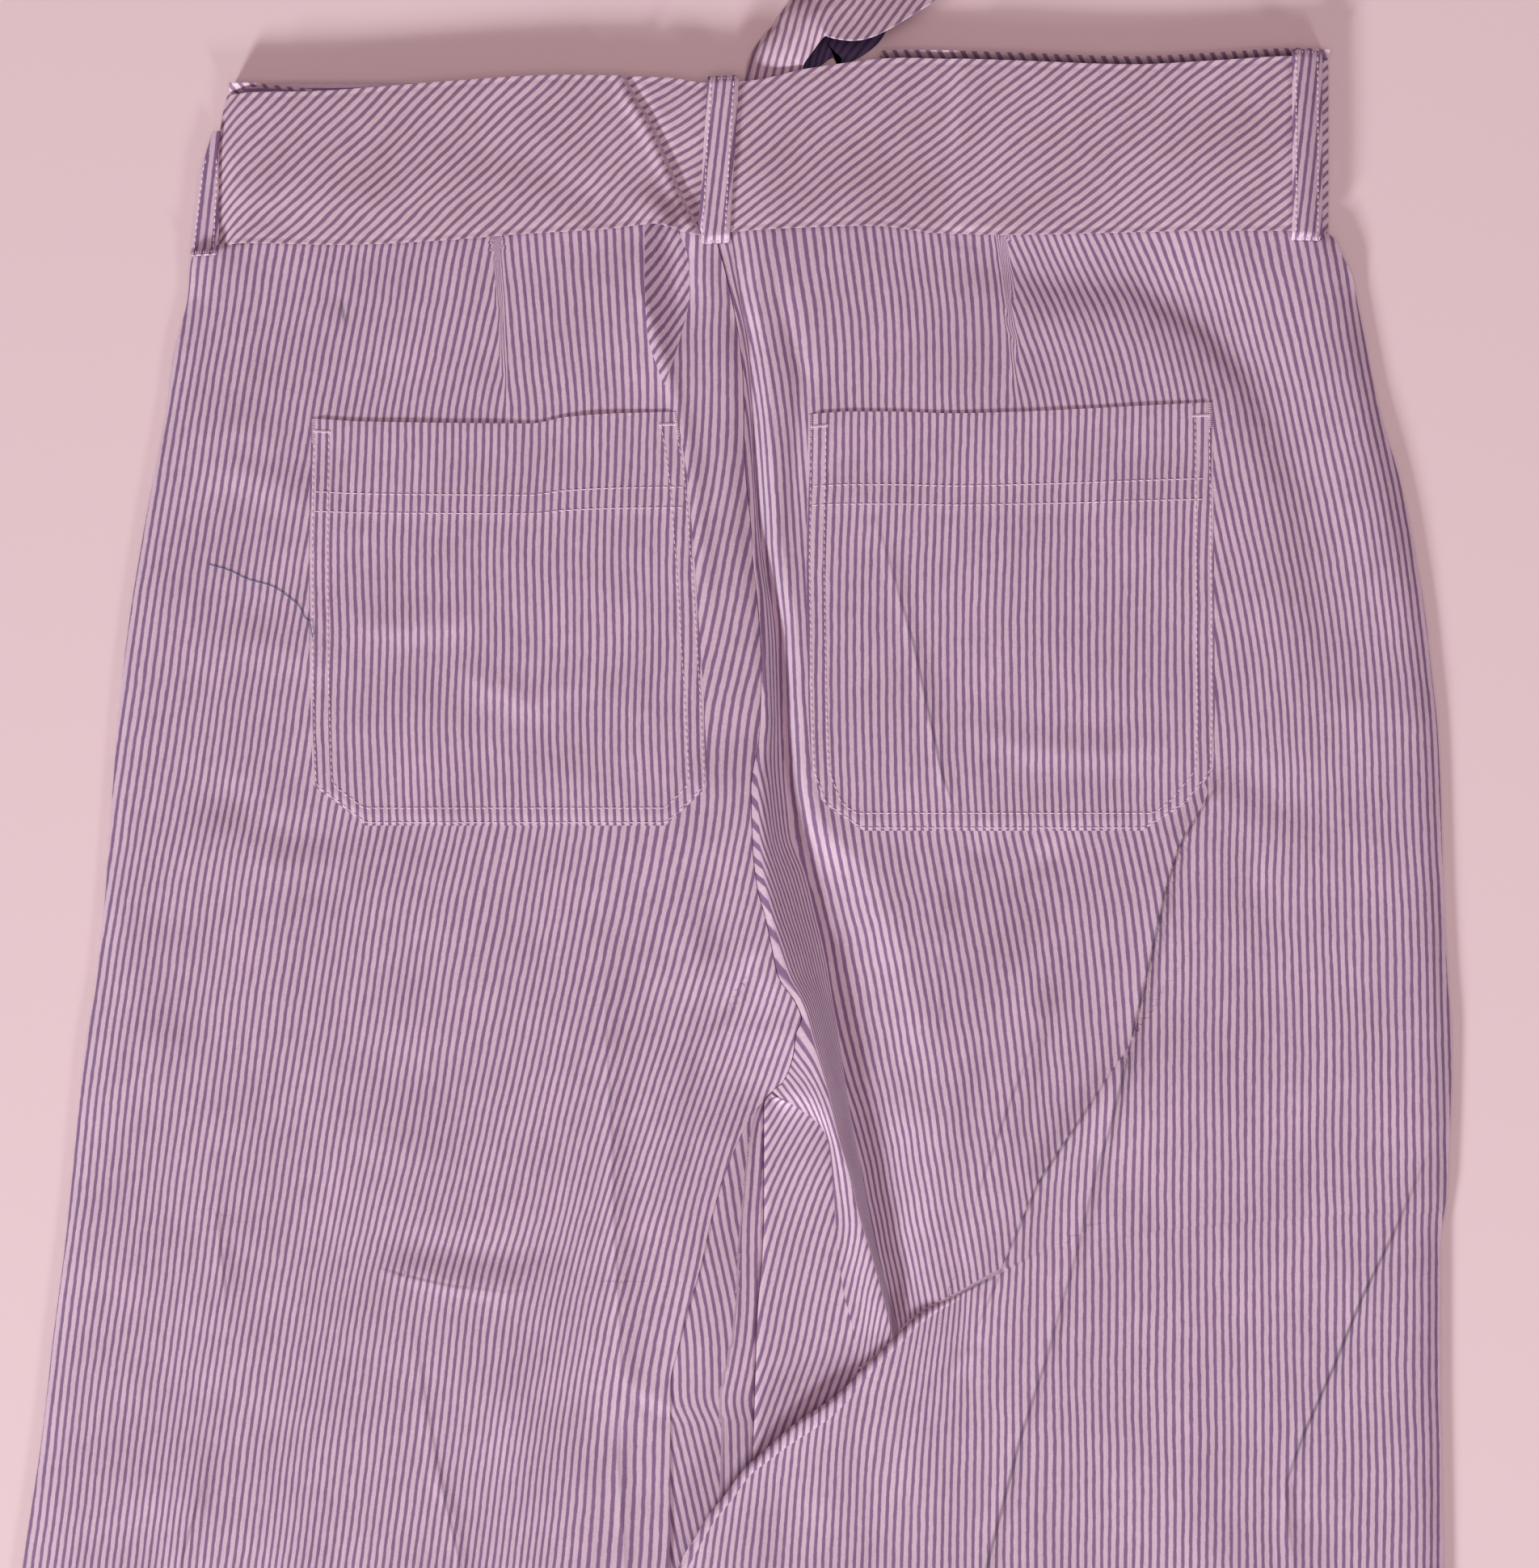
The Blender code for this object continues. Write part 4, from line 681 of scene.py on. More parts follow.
def trace_stripes(table, start):
    """Stripe coordinate over the raster: equal to across on the start row, and carried from
    row to row along the lean, upwards and downwards."""
    tangent = lean_field(table)
    field = np.zeros(tangent.shape)
    first = int((start - LEAN_DOWN[0]) / LEAN_STEP)
    field[first] = LEAN_ACROSS
    for row in range(first + 1, len(LEAN_DOWN)):
        source = LEAN_ACROSS + tangent[row] * LEAN_STEP
        field[row] = carried(field[row - 1], source)
    for row in range(first - 1, -1, -1):
        source = LEAN_ACROSS - tangent[row] * LEAN_STEP
        field[row] = carried(field[row + 1], source)
    return field


def carried(values, source):
    """Values of a raster row at other places, going on beyond its ends at the same slope."""
    inside = np.interp(source, LEAN_ACROSS, values)
    beyond = source - np.clip(source, LEAN_ACROSS[0], LEAN_ACROSS[-1])
    return inside + beyond


def sample(field, across, down):
    """Value of a raster at points, straight between its four nearest cells."""
    column = np.clip((across - LEAN_ACROSS[0]) / LEAN_STEP, 0, len(LEAN_ACROSS) - 1.001)
    row = np.clip((down - LEAN_DOWN[0]) / LEAN_STEP, 0, len(LEAN_DOWN) - 1.001)
    c = column.astype(int)
    r = row.astype(int)
    upper = mix(field[r, c], field[r, c + 1], column - c)
    lower = mix(field[r + 1, c], field[r + 1, c + 1], column - c)
    return mix(upper, lower, row - r)


def wander(across, down, seed):
    """Small sideways drift of the stripes, where the cloth is pulled or eased unevenly."""
    slow = 0.55 * rumple(across, down * 0.45, 34, seed)
    return slow + 0.16 * rumple(across, down * 0.6, 11, seed)


def matched(field, other, across, down):
    """A traced field, moved so that it equals another one at a place."""
    across, down = np.array(across), np.array(down)
    return field + sample(other, across, down) - sample(field, across, down)


def left_stripes(across, down):
    """Stripe coordinates of the left back panel, outside and inside the dip under the belt, and
    how far inside it a point is. The waist's stripes pass into the leg's behind the pocket. In
    the dip the cloth lies folded, so its stripes lean strongly."""
    waist = trace_stripes(LEFT_LEAN, WAIST_ROW)
    leg = matched(LEFT_LEG_PITCH * trace_stripes(LEFT_LEAN, LEFT_LEG_ROW), waist, -175.0, 190.0)
    stripe = mix(sample(waist, across, down), sample(leg, across, down),
                 ease((down - PASS_TOP) / PASS_TALL))
    inside = np.minimum(across - line(DIP_LEFT, down), line(DIP_RIGHT, down) - across)
    turn = np.radians(DIP_LEAN)
    return stripe, across * np.cos(turn) + down * np.sin(turn), np.minimum(inside, DIP_FOOT - down)


def right_stripes(across, down):
    """Stripe coordinates of the right back panel above the tuck, left and right of the bunched
    crease, and how far right of it a point is. Behind the pocket the waist's stripes pass into
    the leg's. Beside the inseam, left of the valley's crest, they lie a little further apart."""
    waist = trace_stripes(RIGHT_LEAN, WAIST_ROW)
    near = matched(trace_stripes(NEAR_LEAN, RIGHT_LEG_ROW), waist, 4.0, 190.0)
    far = matched(trace_stripes(FAR_LEAN, RIGHT_LEG_ROW), waist, 190.0, 190.0)
    crest = line(CREST, down)
    left_of_crest = np.minimum(sample(near, across, down) - sample(near, crest, down), 0)
    at_waist = sample(waist, across, down)
    both = [mix(at_waist, sample(leg, across, down), ease((down - PASS_TOP) / PASS_TALL))
            for leg in (near, far)]
    widened = 0.45 * ease((down - 350) / 40) * left_of_crest
    return both[0] - widened, both[1], across - line(BUNCH, down)


def slack(across, high):
    """Extra length of cloth, along each row, between a column and the last one: the surface's
    length less its width."""
    step_a = np.diff(across, axis=1)
    extra = np.hypot(step_a, np.diff(high, axis=1)) - np.abs(step_a)
    total = np.zeros(across.shape)
    total[:, :-1] = np.cumsum(extra[:, ::-1], axis=1)[:, ::-1]
    return total


def joined_stripes(below, above):
    """Stripe coordinate below the tuck, brought into step with the row above it where the
    cloth runs on past the tuck's end. Each stripe keeps one correction along its length."""
    start = below[0]
    order = np.argsort(start)
    correction = np.interp(below, start[order], (above - start)[order])
    at_end = np.interp(TUCK_ENDS, start[order], (above - start)[order])
    return below + mix(at_end, correction, ease((below - TUCK_ENDS + 10) / 20))


# ---------------------------------------------------------------- panel surfaces
def tuck_roll():
    """The folded edge of the tuck: a section goes from under the cloth, round the lip and a
    little way over the cloth below it, and is swept along the lip."""
    path_a = np.linspace(TUCK_LIP[0][0], TUCK_ROLL_END, 190)
    path_d = line(TUCK_LIP, path_a)
    run = unit(np.stack([np.gradient(path_a), np.gradient(path_d)], 1))
    below = np.stack([-run[:, 1], run[:, 0]], 1)
    fine = np.linspace(0, len(ROLL_SECTION) - 1, 27)
    out, drop = smooth(ROLL_SECTION, fine).T[:, None]
    thick = (1 - 0.75 * ease((path_a - 52) / 30))[:, None]
    doubled = np.exp(-((path_a - 14) / 13) ** 2)[:, None]
    out = np.where(np.arange(27) > 17, out * (1 + 1.6 * doubled), out)
    across = path_a[:, None] + out * below[:, :1]
    down = path_d[:, None] + out * below[:, 1:]
    resting = right_lower_high(across, np.maximum(down, line(TUCK_LIP, across)))
    return across, down, resting + drop * thick - 0.5 * (1 - thick)


ROLL_SECTION = (       # how far below the lip, and height over the lower cloth
    (6.0, -3.0), (3.2, -3.0), (1.2, -2.6), (0.0, -2.0), (-0.7, -1.2), (-0.6, -0.3), (0.0, 0.3),
    (0.7, 0.5), (1.3, 0.3), (1.8, -0.2), (2.0, -0.6),
)


def left_inner(down):
    """Inner edge of the left back panel: centre seam, then inseam."""
    return np.where(down < CROTCH, line(CENTRE_SEAM, down), line(LEFT_INSEAM, down))


def right_inner(down):
    """Inner edge of the right back panel: centre seam, then inseam."""
    return np.where(down < CROTCH, line(CENTRE_SEAM, down), line(RIGHT_INSEAM, down))


def left_high(across, down):
    """Height of the left back panel: level, bent to the seam's height along the inner edge
    and to the floor along the side, with its folds and creases."""
    edge = np.where(down < CROTCH, line(SEAM_HIGH, down), line(LEFT_INSEAM_HIGH, down))
    inward = np.maximum(left_inner(down) - across, 0) / line(SEAM_SLOPE_WIDTH, down)
    high = LEVEL + folds(across, down, LEFT_FOLDS)
    under_right_leg = ease((across + 75) / 30) * ease((down - 455) / 30)
    high = mix(high, UNDER_LEG_HIGH, under_right_leg)
    high = high + (edge - high) * np.exp(-inward ** 1.5)
    high = high + folds(across, down, LEFT_CREASES)
    high = high + 0.4 * rumple(across, down, 60, 1.0) + 0.13 * rumple(across, down, 23, 2.0)
    return side_roll(high, across - line(LEFT_SIDE, down), line(SIDE_HIGH, down))


def right_guides(down):
    """Across and height of the right panel's guide lines: inner edge, crest, valley,
    shoulder and side."""
    edge = np.where(down < CROTCH, line(SEAM_HIGH, down), line(RIGHT_INSEAM_HIGH, down))
    valley = line(VALLEY, down)
    across = (right_inner(down) + SEAM, line(CREST, down), valley,
              valley + line(SHOULDER_WIDTH, down), line(RIGHT_SIDE, down))
    high = (edge, line(CREST_HIGH, down), line(VALLEY_HIGH, down), line(SHOULDER_HIGH, down),
            np.full(np.shape(down), LEVEL))
    return across, high


def between_guides(u, values, smooth):
    """Value at share u of the width: from guide to guide, straight or in a smooth S."""
    result = np.array(values[0] + 0 * u)
    for k in range(len(RIGHT_KNOTS) - 1):
        t = np.clip((u - RIGHT_KNOTS[k]) / (RIGHT_KNOTS[k + 1] - RIGHT_KNOTS[k]), 0, 1)
        if smooth:
            t = ease(t)
        result = result + (values[k + 1] - values[k]) * t
    return result


def right_relief(across, down):
    """Folds, creases and slow swell of the right back panel."""
    high = folds(across, down, RIGHT_FOLDS) + folds(across, down, RIGHT_CREASES)
    return high + 0.4 * rumple(across, down, 60, 3.0) + 0.13 * rumple(across, down, 23, 4.0)


def right_upper(u, rows):
    """Right back panel from the waistband to the tuck: rows slant so that the last one runs
    along the tuck's lip."""
    u, start = np.meshgrid(u, rows)
    share = (start - PANEL_TOP) / (TUCK_FOOT - PANEL_TOP)
    down = start
    for _ in range(12):
        across = between_guides(u, right_guides(down)[0], False)
        lip = line(TUCK_LIP, np.maximum(across, TUCK_START[0]))
        down = PANEL_TOP + share * (lip - TUCK_STEP - PANEL_TOP)
    high = between_guides(u, right_guides(down)[1], True) + right_relief(across, down)
    high = side_roll(high, line(RIGHT_SIDE, down) - across, line(SIDE_HIGH, down))
    meets = ease(1 - (lip - TUCK_STEP - down) / 45) * ease((across - 47) / 18)
    return across, down, mix(high, right_lower_high(across, down), meets)


def right_lower_high(across, down):
    """Height of the right leg below the tuck: it falls from the lip to the level, lies over
    the left leg near its inner edge and rolls down at both edges."""
    below_lip = np.maximum(down - line(TUCK_LIP, across), 0) * 0.7
    high = LEVEL + right_relief(across, down)
    high = high + OVER_LEFT_LEG * ease((6 - across) / 14) * (1 - ease((down - 640) / 140))
    lip = line(TUCK_HIGH, across)
    high = high + np.maximum(lip - high, 0) * np.exp(-(below_lip / 15) ** 1.3)
    inner_low = mix(6.4, 4.7, ease((down - 560) / 160))
    high = side_roll(high, across - line(RIGHT_LOWER_EDGE, down), inner_low)
    return side_roll(high, line(RIGHT_SIDE, down) - across, line(SIDE_HIGH, down))


def right_lower(u, start_a):
    """Right leg below the tuck. Its first row runs along the lip, the next ones start along
    the lip's free part and swing level."""
    u = np.array(u, float)
    start_share = (start_a - start_a[0]) / (start_a[-1] - start_a[0])
    sheet_a, sheet_d = [], []
    for inner, row, level in smooth(LOWER_STARTS, row_places(LOWER_STARTS)):
        column = mix(start_share, u, float(ease(level)))
        row_a = mix(inner, line(RIGHT_SIDE, row), column)
        for _ in range(4):
            lip = line(TUCK_LIP, row_a) - line(TUCK_LIP, inner)
            row_d = row + lip * (1 - level)
            row_a = mix(inner, line(RIGHT_SIDE, row_d), column)
        sheet_a.append(row_a)
        sheet_d.append(row_d)
    across, down = np.array(sheet_a), np.array(sheet_d)
    return across, down, right_lower_high(across, down)


def row_places(table):
    """Row positions between the starts, close together where the photo looks."""
    places = []
    for k in range(len(table) - 1):
        lip_a, lip_b = [row[1] - 125 * (1 - row[2]) for row in (table[k], table[k + 1])]
        step = STEP_DOWN * 1.1 if table[k][1] < PHOTO_FOOT else STEP_LEG
        longest = max(abs(table[k + 1][1] - table[k][1]), abs(lip_b - lip_a))
        count = int(np.ceil(longest / step))
        places += list(k + np.arange(count) / count)
    return np.array(places + [len(table) - 1])


def back_high(across, down):
    """Height of the back panels under a pocket or a loop, away from the tuck."""
    guides, high = right_guides(down)
    u = np.full(across.shape, float(RIGHT_KNOTS[-2]))
    for k in range(len(guides) - 2, -1, -1):
        t = (across - guides[k]) / (guides[k + 1] - guides[k])
        u = np.where(t < 1, mix(RIGHT_KNOTS[k], RIGHT_KNOTS[k + 1], np.clip(t, 0, 1)), u)
    right = between_guides(u, high, True) + right_relief(across, down)
    return np.where(across < left_inner(down), left_high(across, down), right)


def front_panel(sign, rows, flat_columns=40, flap_columns=30):
    """One front panel: flat on the floor from the side to the leg's inner fold, round the
    fold, and back over the top to the inseam. Above the crotch its last columns lie flat
    beside the centre front; at the crotch they stand up to meet the back panel."""
    side = LEFT_SIDE if sign < 0 else RIGHT_SIDE
    leg_fold = LEFT_LEG_FOLD if sign < 0 else RIGHT_LEG_FOLD
    inseam = LEFT_INSEAM if sign < 0 else RIGHT_INSEAM
    inseam_high = LEFT_INSEAM_HIGH if sign < 0 else RIGHT_INSEAM_HIGH
    flap_rise = LEFT_FLAP_RISE if sign < 0 else RIGHT_FLAP_RISE
    base = CLOTH / 2
    centre = sign * SEAM / 2
    standing_at = centre + sign * CLOTH / 2
    row = np.array(rows, float)[:, None]
    stand = ease((row - FLAP_START) / (CROTCH - FLAP_START))
    lean = ease((row - CROTCH + 1) / FLAP_OPENS)
    outer, turn = line(side, row), line(leg_fold, row) + sign * 0.45
    end = line(inseam, row) + sign * SEAM_UNDERLAP
    end_high = line(inseam_high, row) - SHELL
    flat_end = mix(centre + sign * (CENTRE_FLAT + 1.1), standing_at + sign, stand)
    floor_end = mix(flat_end, turn + sign * FLAP_TURN, lean)
    flat_share = np.linspace(0, 1, flat_columns)[None]
    angle = np.linspace(0.12, 0.92, 7)[None] * np.pi
    bend_a = turn + sign * FLAP_TURN * (1 - np.sin(angle))
    bend_h = mix(base, flap_rise, (1 - np.cos(angle)) / 2) + 0 * row
    flap_share = np.linspace(0.04, 1, flap_columns)[None]
    flap_a = mix(turn + sign * FLAP_TURN, end, flap_share)
    flap_h = mix(flap_rise, end_high, ease(flap_share) * 0.9 + flap_share * 0.1)
    folded_a = np.hstack([bend_a, flap_a])
    folded_h = np.hstack([bend_h, flap_h])
    order = np.linspace(1, 0, folded_a.shape[1])[None]
    flat_a = centre + sign * CENTRE_FLAT * order + 0 * row
    standing_h = base + 4.9 * (1 - order) + 0.2
    inner_a = mix(mix(flat_a, standing_at, stand), folded_a, lean)
    inner_h = mix(mix(base, standing_h, stand), folded_h, lean)
    across = np.hstack([mix(outer, floor_end, flat_share), inner_a])
    high = np.hstack([np.full((len(rows), flat_columns), base), inner_h])
    high = high + (BELT_CLOTH + GAP) * (1 - ease((row - 62) / 12))
    return across, row + 0 * across, high


def flap_stripes(sign, across, down):
    """Stripe coordinate of a front panel: across on its flat part. The wrap's stripes lean on
    both sides of a crease, the left one's outwards and the right one's steeply."""
    if sign < 0:
        crease = line(LEFT_WRAP_CREASE, down)
        lean = np.where(across < crease, *LEFT_WRAP_LEANS)
    else:
        crease = line(RIGHT_LEG_FOLD, down)
        lean = mix(*RIGHT_WRAP_LEANS, ease((down - 365) / 90))
    return (across - crease) + (down - CROTCH) * np.tan(np.radians(lean))


LEFT_WRAP_CREASE = ((357, -2), (372, -7), (389, -8.9), (405, -10.6), (431, -11.7), (443, -13),
                    (455, -15.4), (467, -17.7), (475, -16.6), (526, -18), (1000, -68))


# ---------------------------------------------------------------- waist surfaces
def belt_high(across, down):
    """Height of the belt's back run, with its folds, rolled down where it turns round each
    side to meet the front run."""
    high = BELT_HIGH + folds(across, down, BELT_FOLDS)
    high = high + 0.12 * rumple(across, down, 40, 5.0) + 0.05 * rumple(across, down, 15, 6.0)
    lower = BELT_CLOTH * 1.5 + GAP
    high = side_roll(high, across - line(BELT_LEFT_END, down), lower, BELT_TURN)
    return side_roll(high, BELT_RIGHT - across, lower, BELT_TURN)


def belt_back(columns, rows):
    """Back run of the belt, from its top edge to its low edge, each edge rounded over."""
    u, share = np.meshgrid(columns, rows)
    across = mix(line(BELT_LEFT_END, share * BELT_WIDE), BELT_RIGHT, u)
    top, low = line(BELT_TOP_EDGE, across), line(BELT_LOW_EDGE, across)
    down = mix(top, low, share)
    across = mix(line(BELT_LEFT_END, down), BELT_RIGHT, u)
    high = belt_high(across, down)
    near = np.minimum(down - top, low - down)
    high = high - 0.13 * np.exp(-((near - 1.7) / 0.5) ** 2)
    return across, down, high


def belt_stripes(across, down, high):
    """Stripe coordinate of the bias-cut belt: distance square to stripes that lean by about
    half a right angle, with a break along the diagonal crease."""
    places = np.linspace(-205, 205, 400)
    turn = np.radians(line(BELT_LEAN, places))
    run = np.interp(across, places, np.cumsum(np.cos(turn)) * (places[1] - places[0]))
    right = run + (down - BELT_MIDDLE) * np.sin(np.interp(across, places, turn))
    turn = np.radians(BELT_LEFT_LEAN + 4 * ease((-150 - across) / 40) * (down / 50 - 0.3))
    left = across * np.cos(np.radians(BELT_LEFT_LEAN)) + (down - BELT_MIDDLE) * np.sin(turn)
    square = np.where(across > line(BELT_CREASE, down), right, left) - 0.6 * slack(across, high)
    return BELT_PITCH * square + 0.6 * rumple(across, down, 45, 9.0)


def belt_front(start, end):
    """A front run of the belt, flat on the floor under the front panels. Its top edge peeks
    out above the back run on the right."""
    u, share = np.meshgrid(np.linspace(0, 1, 90), np.linspace(0, 1, 36))
    across = mix(start, end, u)
    peek = RIGHT_PEEK * ease(across / 20) + LEFT_PEEK * np.clip((-158 - across) / 33, 0, 1)
    top = line(BELT_TOP_EDGE, across) - peek
    down = mix(top, top + BELT_WIDE, share ** 2)
    if end < 0:
        across = mix(line(BELT_LEFT_END, down), end, u)
    return across, down, BELT_CLOTH / 2 + EDGE_CURL * ease((4 - down + top) / 4) ** 2


def waistband(middle, high_at_side):
    """One face of the waistband, between the runs of the belt."""
    u, down = np.meshgrid(np.linspace(0, 1, 60), np.linspace(BAND_TOP, PANEL_TOP - SEAM, 8))
    across = mix(BAND_LEFT, BAND_RIGHT, u)
    high = side_roll(np.full(across.shape, middle), across - BAND_LEFT, high_at_side, BAND_ROLL)
    return across, down, side_roll(high, BAND_RIGHT - across, high_at_side, BAND_ROLL)


def loop_strip(rows):
    """A belt loop: from above the belt's top edge, over the belt at an even distance from its
    surface, and down to the panel below its low edge. Its two edges are rounded over."""
    clear = (BELT_CLOTH + LOOP_CLOTH) / 2 + 0.25
    first = rows[0][0]
    shares, out, drop = np.array(LOOP_RUN).T
    shares = mix(first, 1, shares)
    if first > 0:
        shares, out, drop = shares[2:], out[2:] * 0, drop[2:] * 0
        out[-2:] = (2.0, 3.4)
    order = np.arange(len(shares))
    fine = np.linspace(0, len(shares) - 1, 56)
    shares, out, drop = [np.interp(fine, order, values) for values in (shares, out, drop)]
    u, share = np.meshgrid(np.linspace(0, 1, 15), shares)
    at, left, right = np.array(rows).T
    left, right = np.interp(share, at, left), np.interp(share, at, right)
    across = mix(left, right, u)
    down = mix(line(BELT_TOP_EDGE, across), line(BELT_LOW_EDGE, across), share)
    step = 0.2
    high = belt_high(across, down)
    slope_a = (belt_high(across + step, down) - belt_high(across - step, down)) / (2 * step)
    slope_d = (belt_high(across, down + step) - belt_high(across, down - step)) / (2 * step)
    length = np.sqrt(1 + slope_a ** 2 + slope_d ** 2)
    across = across - clear * slope_a / length
    down = down - clear * slope_d / length + out[:, None]
    high = high + clear / length - drop[:, None]
    resting = back_high(across, down) + (CLOTH + LOOP_CLOTH) / 2 + GAP + 0.1
    foot = ease((fine - (len(order) - 3)) / 2)[:, None]
    high = mix(high, resting, foot)
    edge = np.minimum(u, 1 - u) * (right - left)
    return across, down, high - 0.7 * np.exp(-(edge / 0.5) ** 2)


def pocket(table, mouth, mouth_gape, seed):
    """A patch pocket: the panel's points inside its outline, moved out. Along its sewn edges it
    is flush with the panel. Its mouth stands a little open, and its line sways."""
    top = table[0][0]
    bottom = table[-1][0]
    u, down = np.meshgrid(np.linspace(0, 1, 88), np.linspace(top, bottom, 96))
    at, left, right = np.array(table).T
    left, right = np.interp(down, at, left), np.interp(down, at, right)
    across = mix(left, right, u)
    sewn = np.minimum(np.minimum(across - left, right - across), bottom - down)
    sewn = np.maximum(sewn, 0)
    hem = down - top
    down = down + line(mouth, across) * ease(1 - hem / MOUTH_SWAY)
    flush = np.exp(-(sewn / 3.0) ** 1.5)
    lift = mix(POCKET_LIFT, POCKET_EDGE, flush) + 0.18 * np.exp(-((sewn - SEAM_BEAD) / 1.5) ** 2)
    open_share = np.sqrt(np.maximum(np.sin(np.pi * u), 0))
    open_share = open_share * (0.55 + 0.45 * rumple(across, down, 38, seed))
    lift = lift + mouth_gape * open_share * np.exp(-(hem / 9) ** 2)
    lift = lift + 0.12 * (ease((HEM_DEEP - hem) / 0.8) - 1) * (1 - flush)
    lift = lift + 0.1 * rumple(across, down, 34, seed) * (1 - flush)
    return across, down, back_high(across, down) + lift


def tail_strip():
    """Free end of the belt: each section is the upper layer from its right edge to the fold on
    its left, then the layer folded under it, which lies near the floor."""
    table = smooth(TAIL, np.linspace(0, len(TAIL) - 1, 190))
    forward = unit(np.gradient(table[:, :2], axis=0))
    right = np.stack([-forward[:, 1], forward[:, 0]], 1)
    centre_a, centre_d, upper, under, middle_high, edge_high = [c[:, None] for c in table.T]
    turn = TAIL_FOLD
    low = BELT_CLOTH / 2
    offsets = np.hstack([0.5 * upper, 0.25 * upper, 0 * upper, -0.28 * upper, -0.44 * upper,
                         -0.5 * upper, -0.5 * upper - turn, -0.5 * upper - 0.4 * turn,
                         -0.5 * upper + 0.5 * under, -0.5 * upper + under])
    heights = np.hstack([edge_high, mix(edge_high, middle_high, 0.6), middle_high,
                         mix(middle_high, low + TAIL_TURN, 0.25),
                         mix(middle_high, low + TAIL_TURN, 0.6),
                         mix(low, low + TAIL_TURN, 0.8) + 0 * upper,
                         mix(low, low + TAIL_TURN, 0.35) + 0 * upper,
                         low + 0 * upper, low + 0 * upper, low + 0 * upper])
    knots = np.arange(offsets.shape[1])
    places = np.linspace(0, offsets.shape[1] - 1, 60)
    offset = np.array([np.interp(places, knots, row) for row in offsets])
    high = np.array([np.interp(places, knots, row) for row in heights])
    across = centre_a + offset * right[:, :1]
    down = centre_d + offset * right[:, 1:]
    return across, down, high


def strip_lengths(across, down, high):
    """Distances along a grid's rows and columns from its first corner."""
    points = np.stack([across, down, high], -1)
    along = np.zeros(across.shape)
    along[1:] = np.cumsum(np.linalg.norm(np.diff(points, axis=0), axis=2), axis=0)
    side = np.zeros(across.shape)
    side[:, 1:] = np.cumsum(np.linalg.norm(np.diff(points, axis=1), axis=2), axis=1)
    return along.mean(1, keepdims=True) + 0 * side, side


# ---------------------------------------------------------------- meshes
def place(across, down, high):
    """Garment millimetres to the frame's metres."""
    return np.stack([across - ACROSS_MID, DOWN_MID - down, high + 0 * across], -1) * MM


def new_object(name, mesh, material):
    """An object at the origin with its mesh and material."""
    mesh.materials.append(material)
    made = bpy.data.objects.new(name, mesh)
    bpy.context.collection.objects.link(made)
    return made


def shell(name, surface, stripe, length, material, node, thickness=SHELL,
          beyond=(0, 0), creases=(0, 0)):
    """Thin closed shell on a grid. The grid is the shell's middle. The stripe and length
    coordinates, in metres, go into the UV map that the cloth's pattern reads. Two more maps
    hold the stripe coordinate beyond a break with the distance past it, and the distance to a
    crease with its strength, where shade is painted. The border's edges are sharp."""
    across, down, high = surface
    points = place(across, down, high)
    rows, columns = across.shape
    index = np.arange(rows * columns).reshape(rows, columns)
    faces = np.stack([index[:-1, :-1], index[1:, :-1], index[1:, 1:], index[:-1, 1:]], -1)
    faces = faces.reshape(-1, 4)
    run = points[1:, :-1] - points[:-1, :-1]
    side = points[:-1, 1:] - points[:-1, :-1]
    if np.cross(run, side)[..., 2].sum() < 0:
        faces = faces[:, ::-1]
    mesh = bpy.data.meshes.new(name)
    mesh.vertices.add(rows * columns)
    mesh.vertices.foreach_set("co", points.astype(np.float32).ravel())
    mesh.loops.add(faces.size)
    mesh.loops.foreach_set("vertex_index", faces.astype(np.int32).ravel())
    mesh.polygons.add(len(faces))
    mesh.polygons.foreach_set("loop_start", np.arange(0, faces.size, 4, dtype=np.int32))
    mesh.update(calc_edges=True)
    # the map named creases carries the distance and strength of the painted crease shade
    for title, pair in (("threads", (stripe, length)), ("beyond", beyond), ("creases", creases)):
        uv = np.stack([(grid + 0 * across).ravel() for grid in pair], 1) * MM
        layer = mesh.uv_layers.new(name=title)
        layer.data.foreach_set("uv", uv[faces.ravel()].astype(np.float32).ravel())
    mesh.shade_smooth()
    ends = np.empty(len(mesh.edges) * 2, np.int32)
    mesh.edges.foreach_get("vertices", ends)
    row, column = np.divmod(ends.reshape(-1, 2), columns)
    border = ((row == 0) | (row == rows - 1)).all(1)
    border = border | ((column == 0) | (column == columns - 1)).all(1)
    sharp = mesh.attributes.new("sharp_edge", "BOOLEAN", "EDGE")
    sharp.data.foreach_set("value", border)
    piece = new_object(name, mesh, material)
    wall = piece.modifiers.new("wall", "SOLIDIFY")
    wall.thickness = thickness * MM
    wall.offset = 0
    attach(piece, "root")
    if node:
        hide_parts(node)
    return piece


def on_surface(surface, u, v):
    """Points of a grid at shares u of its columns and v of its rows, straight between them."""
    rows, columns = surface[0].shape
    column = np.clip(np.asarray(u, float) * (columns - 1), 0, columns - 1.001)
    row = np.clip(np.asarray(v, float) * (rows - 1), 0, rows - 1.001)
    c, r = column.astype(int), row.astype(int)
    return np.stack([mix(mix(grid[r, c], grid[r, c + 1], column - c),
                         mix(grid[r + 1, c], grid[r + 1, c + 1], column - c), row - r)
                     for grid in surface], -1)


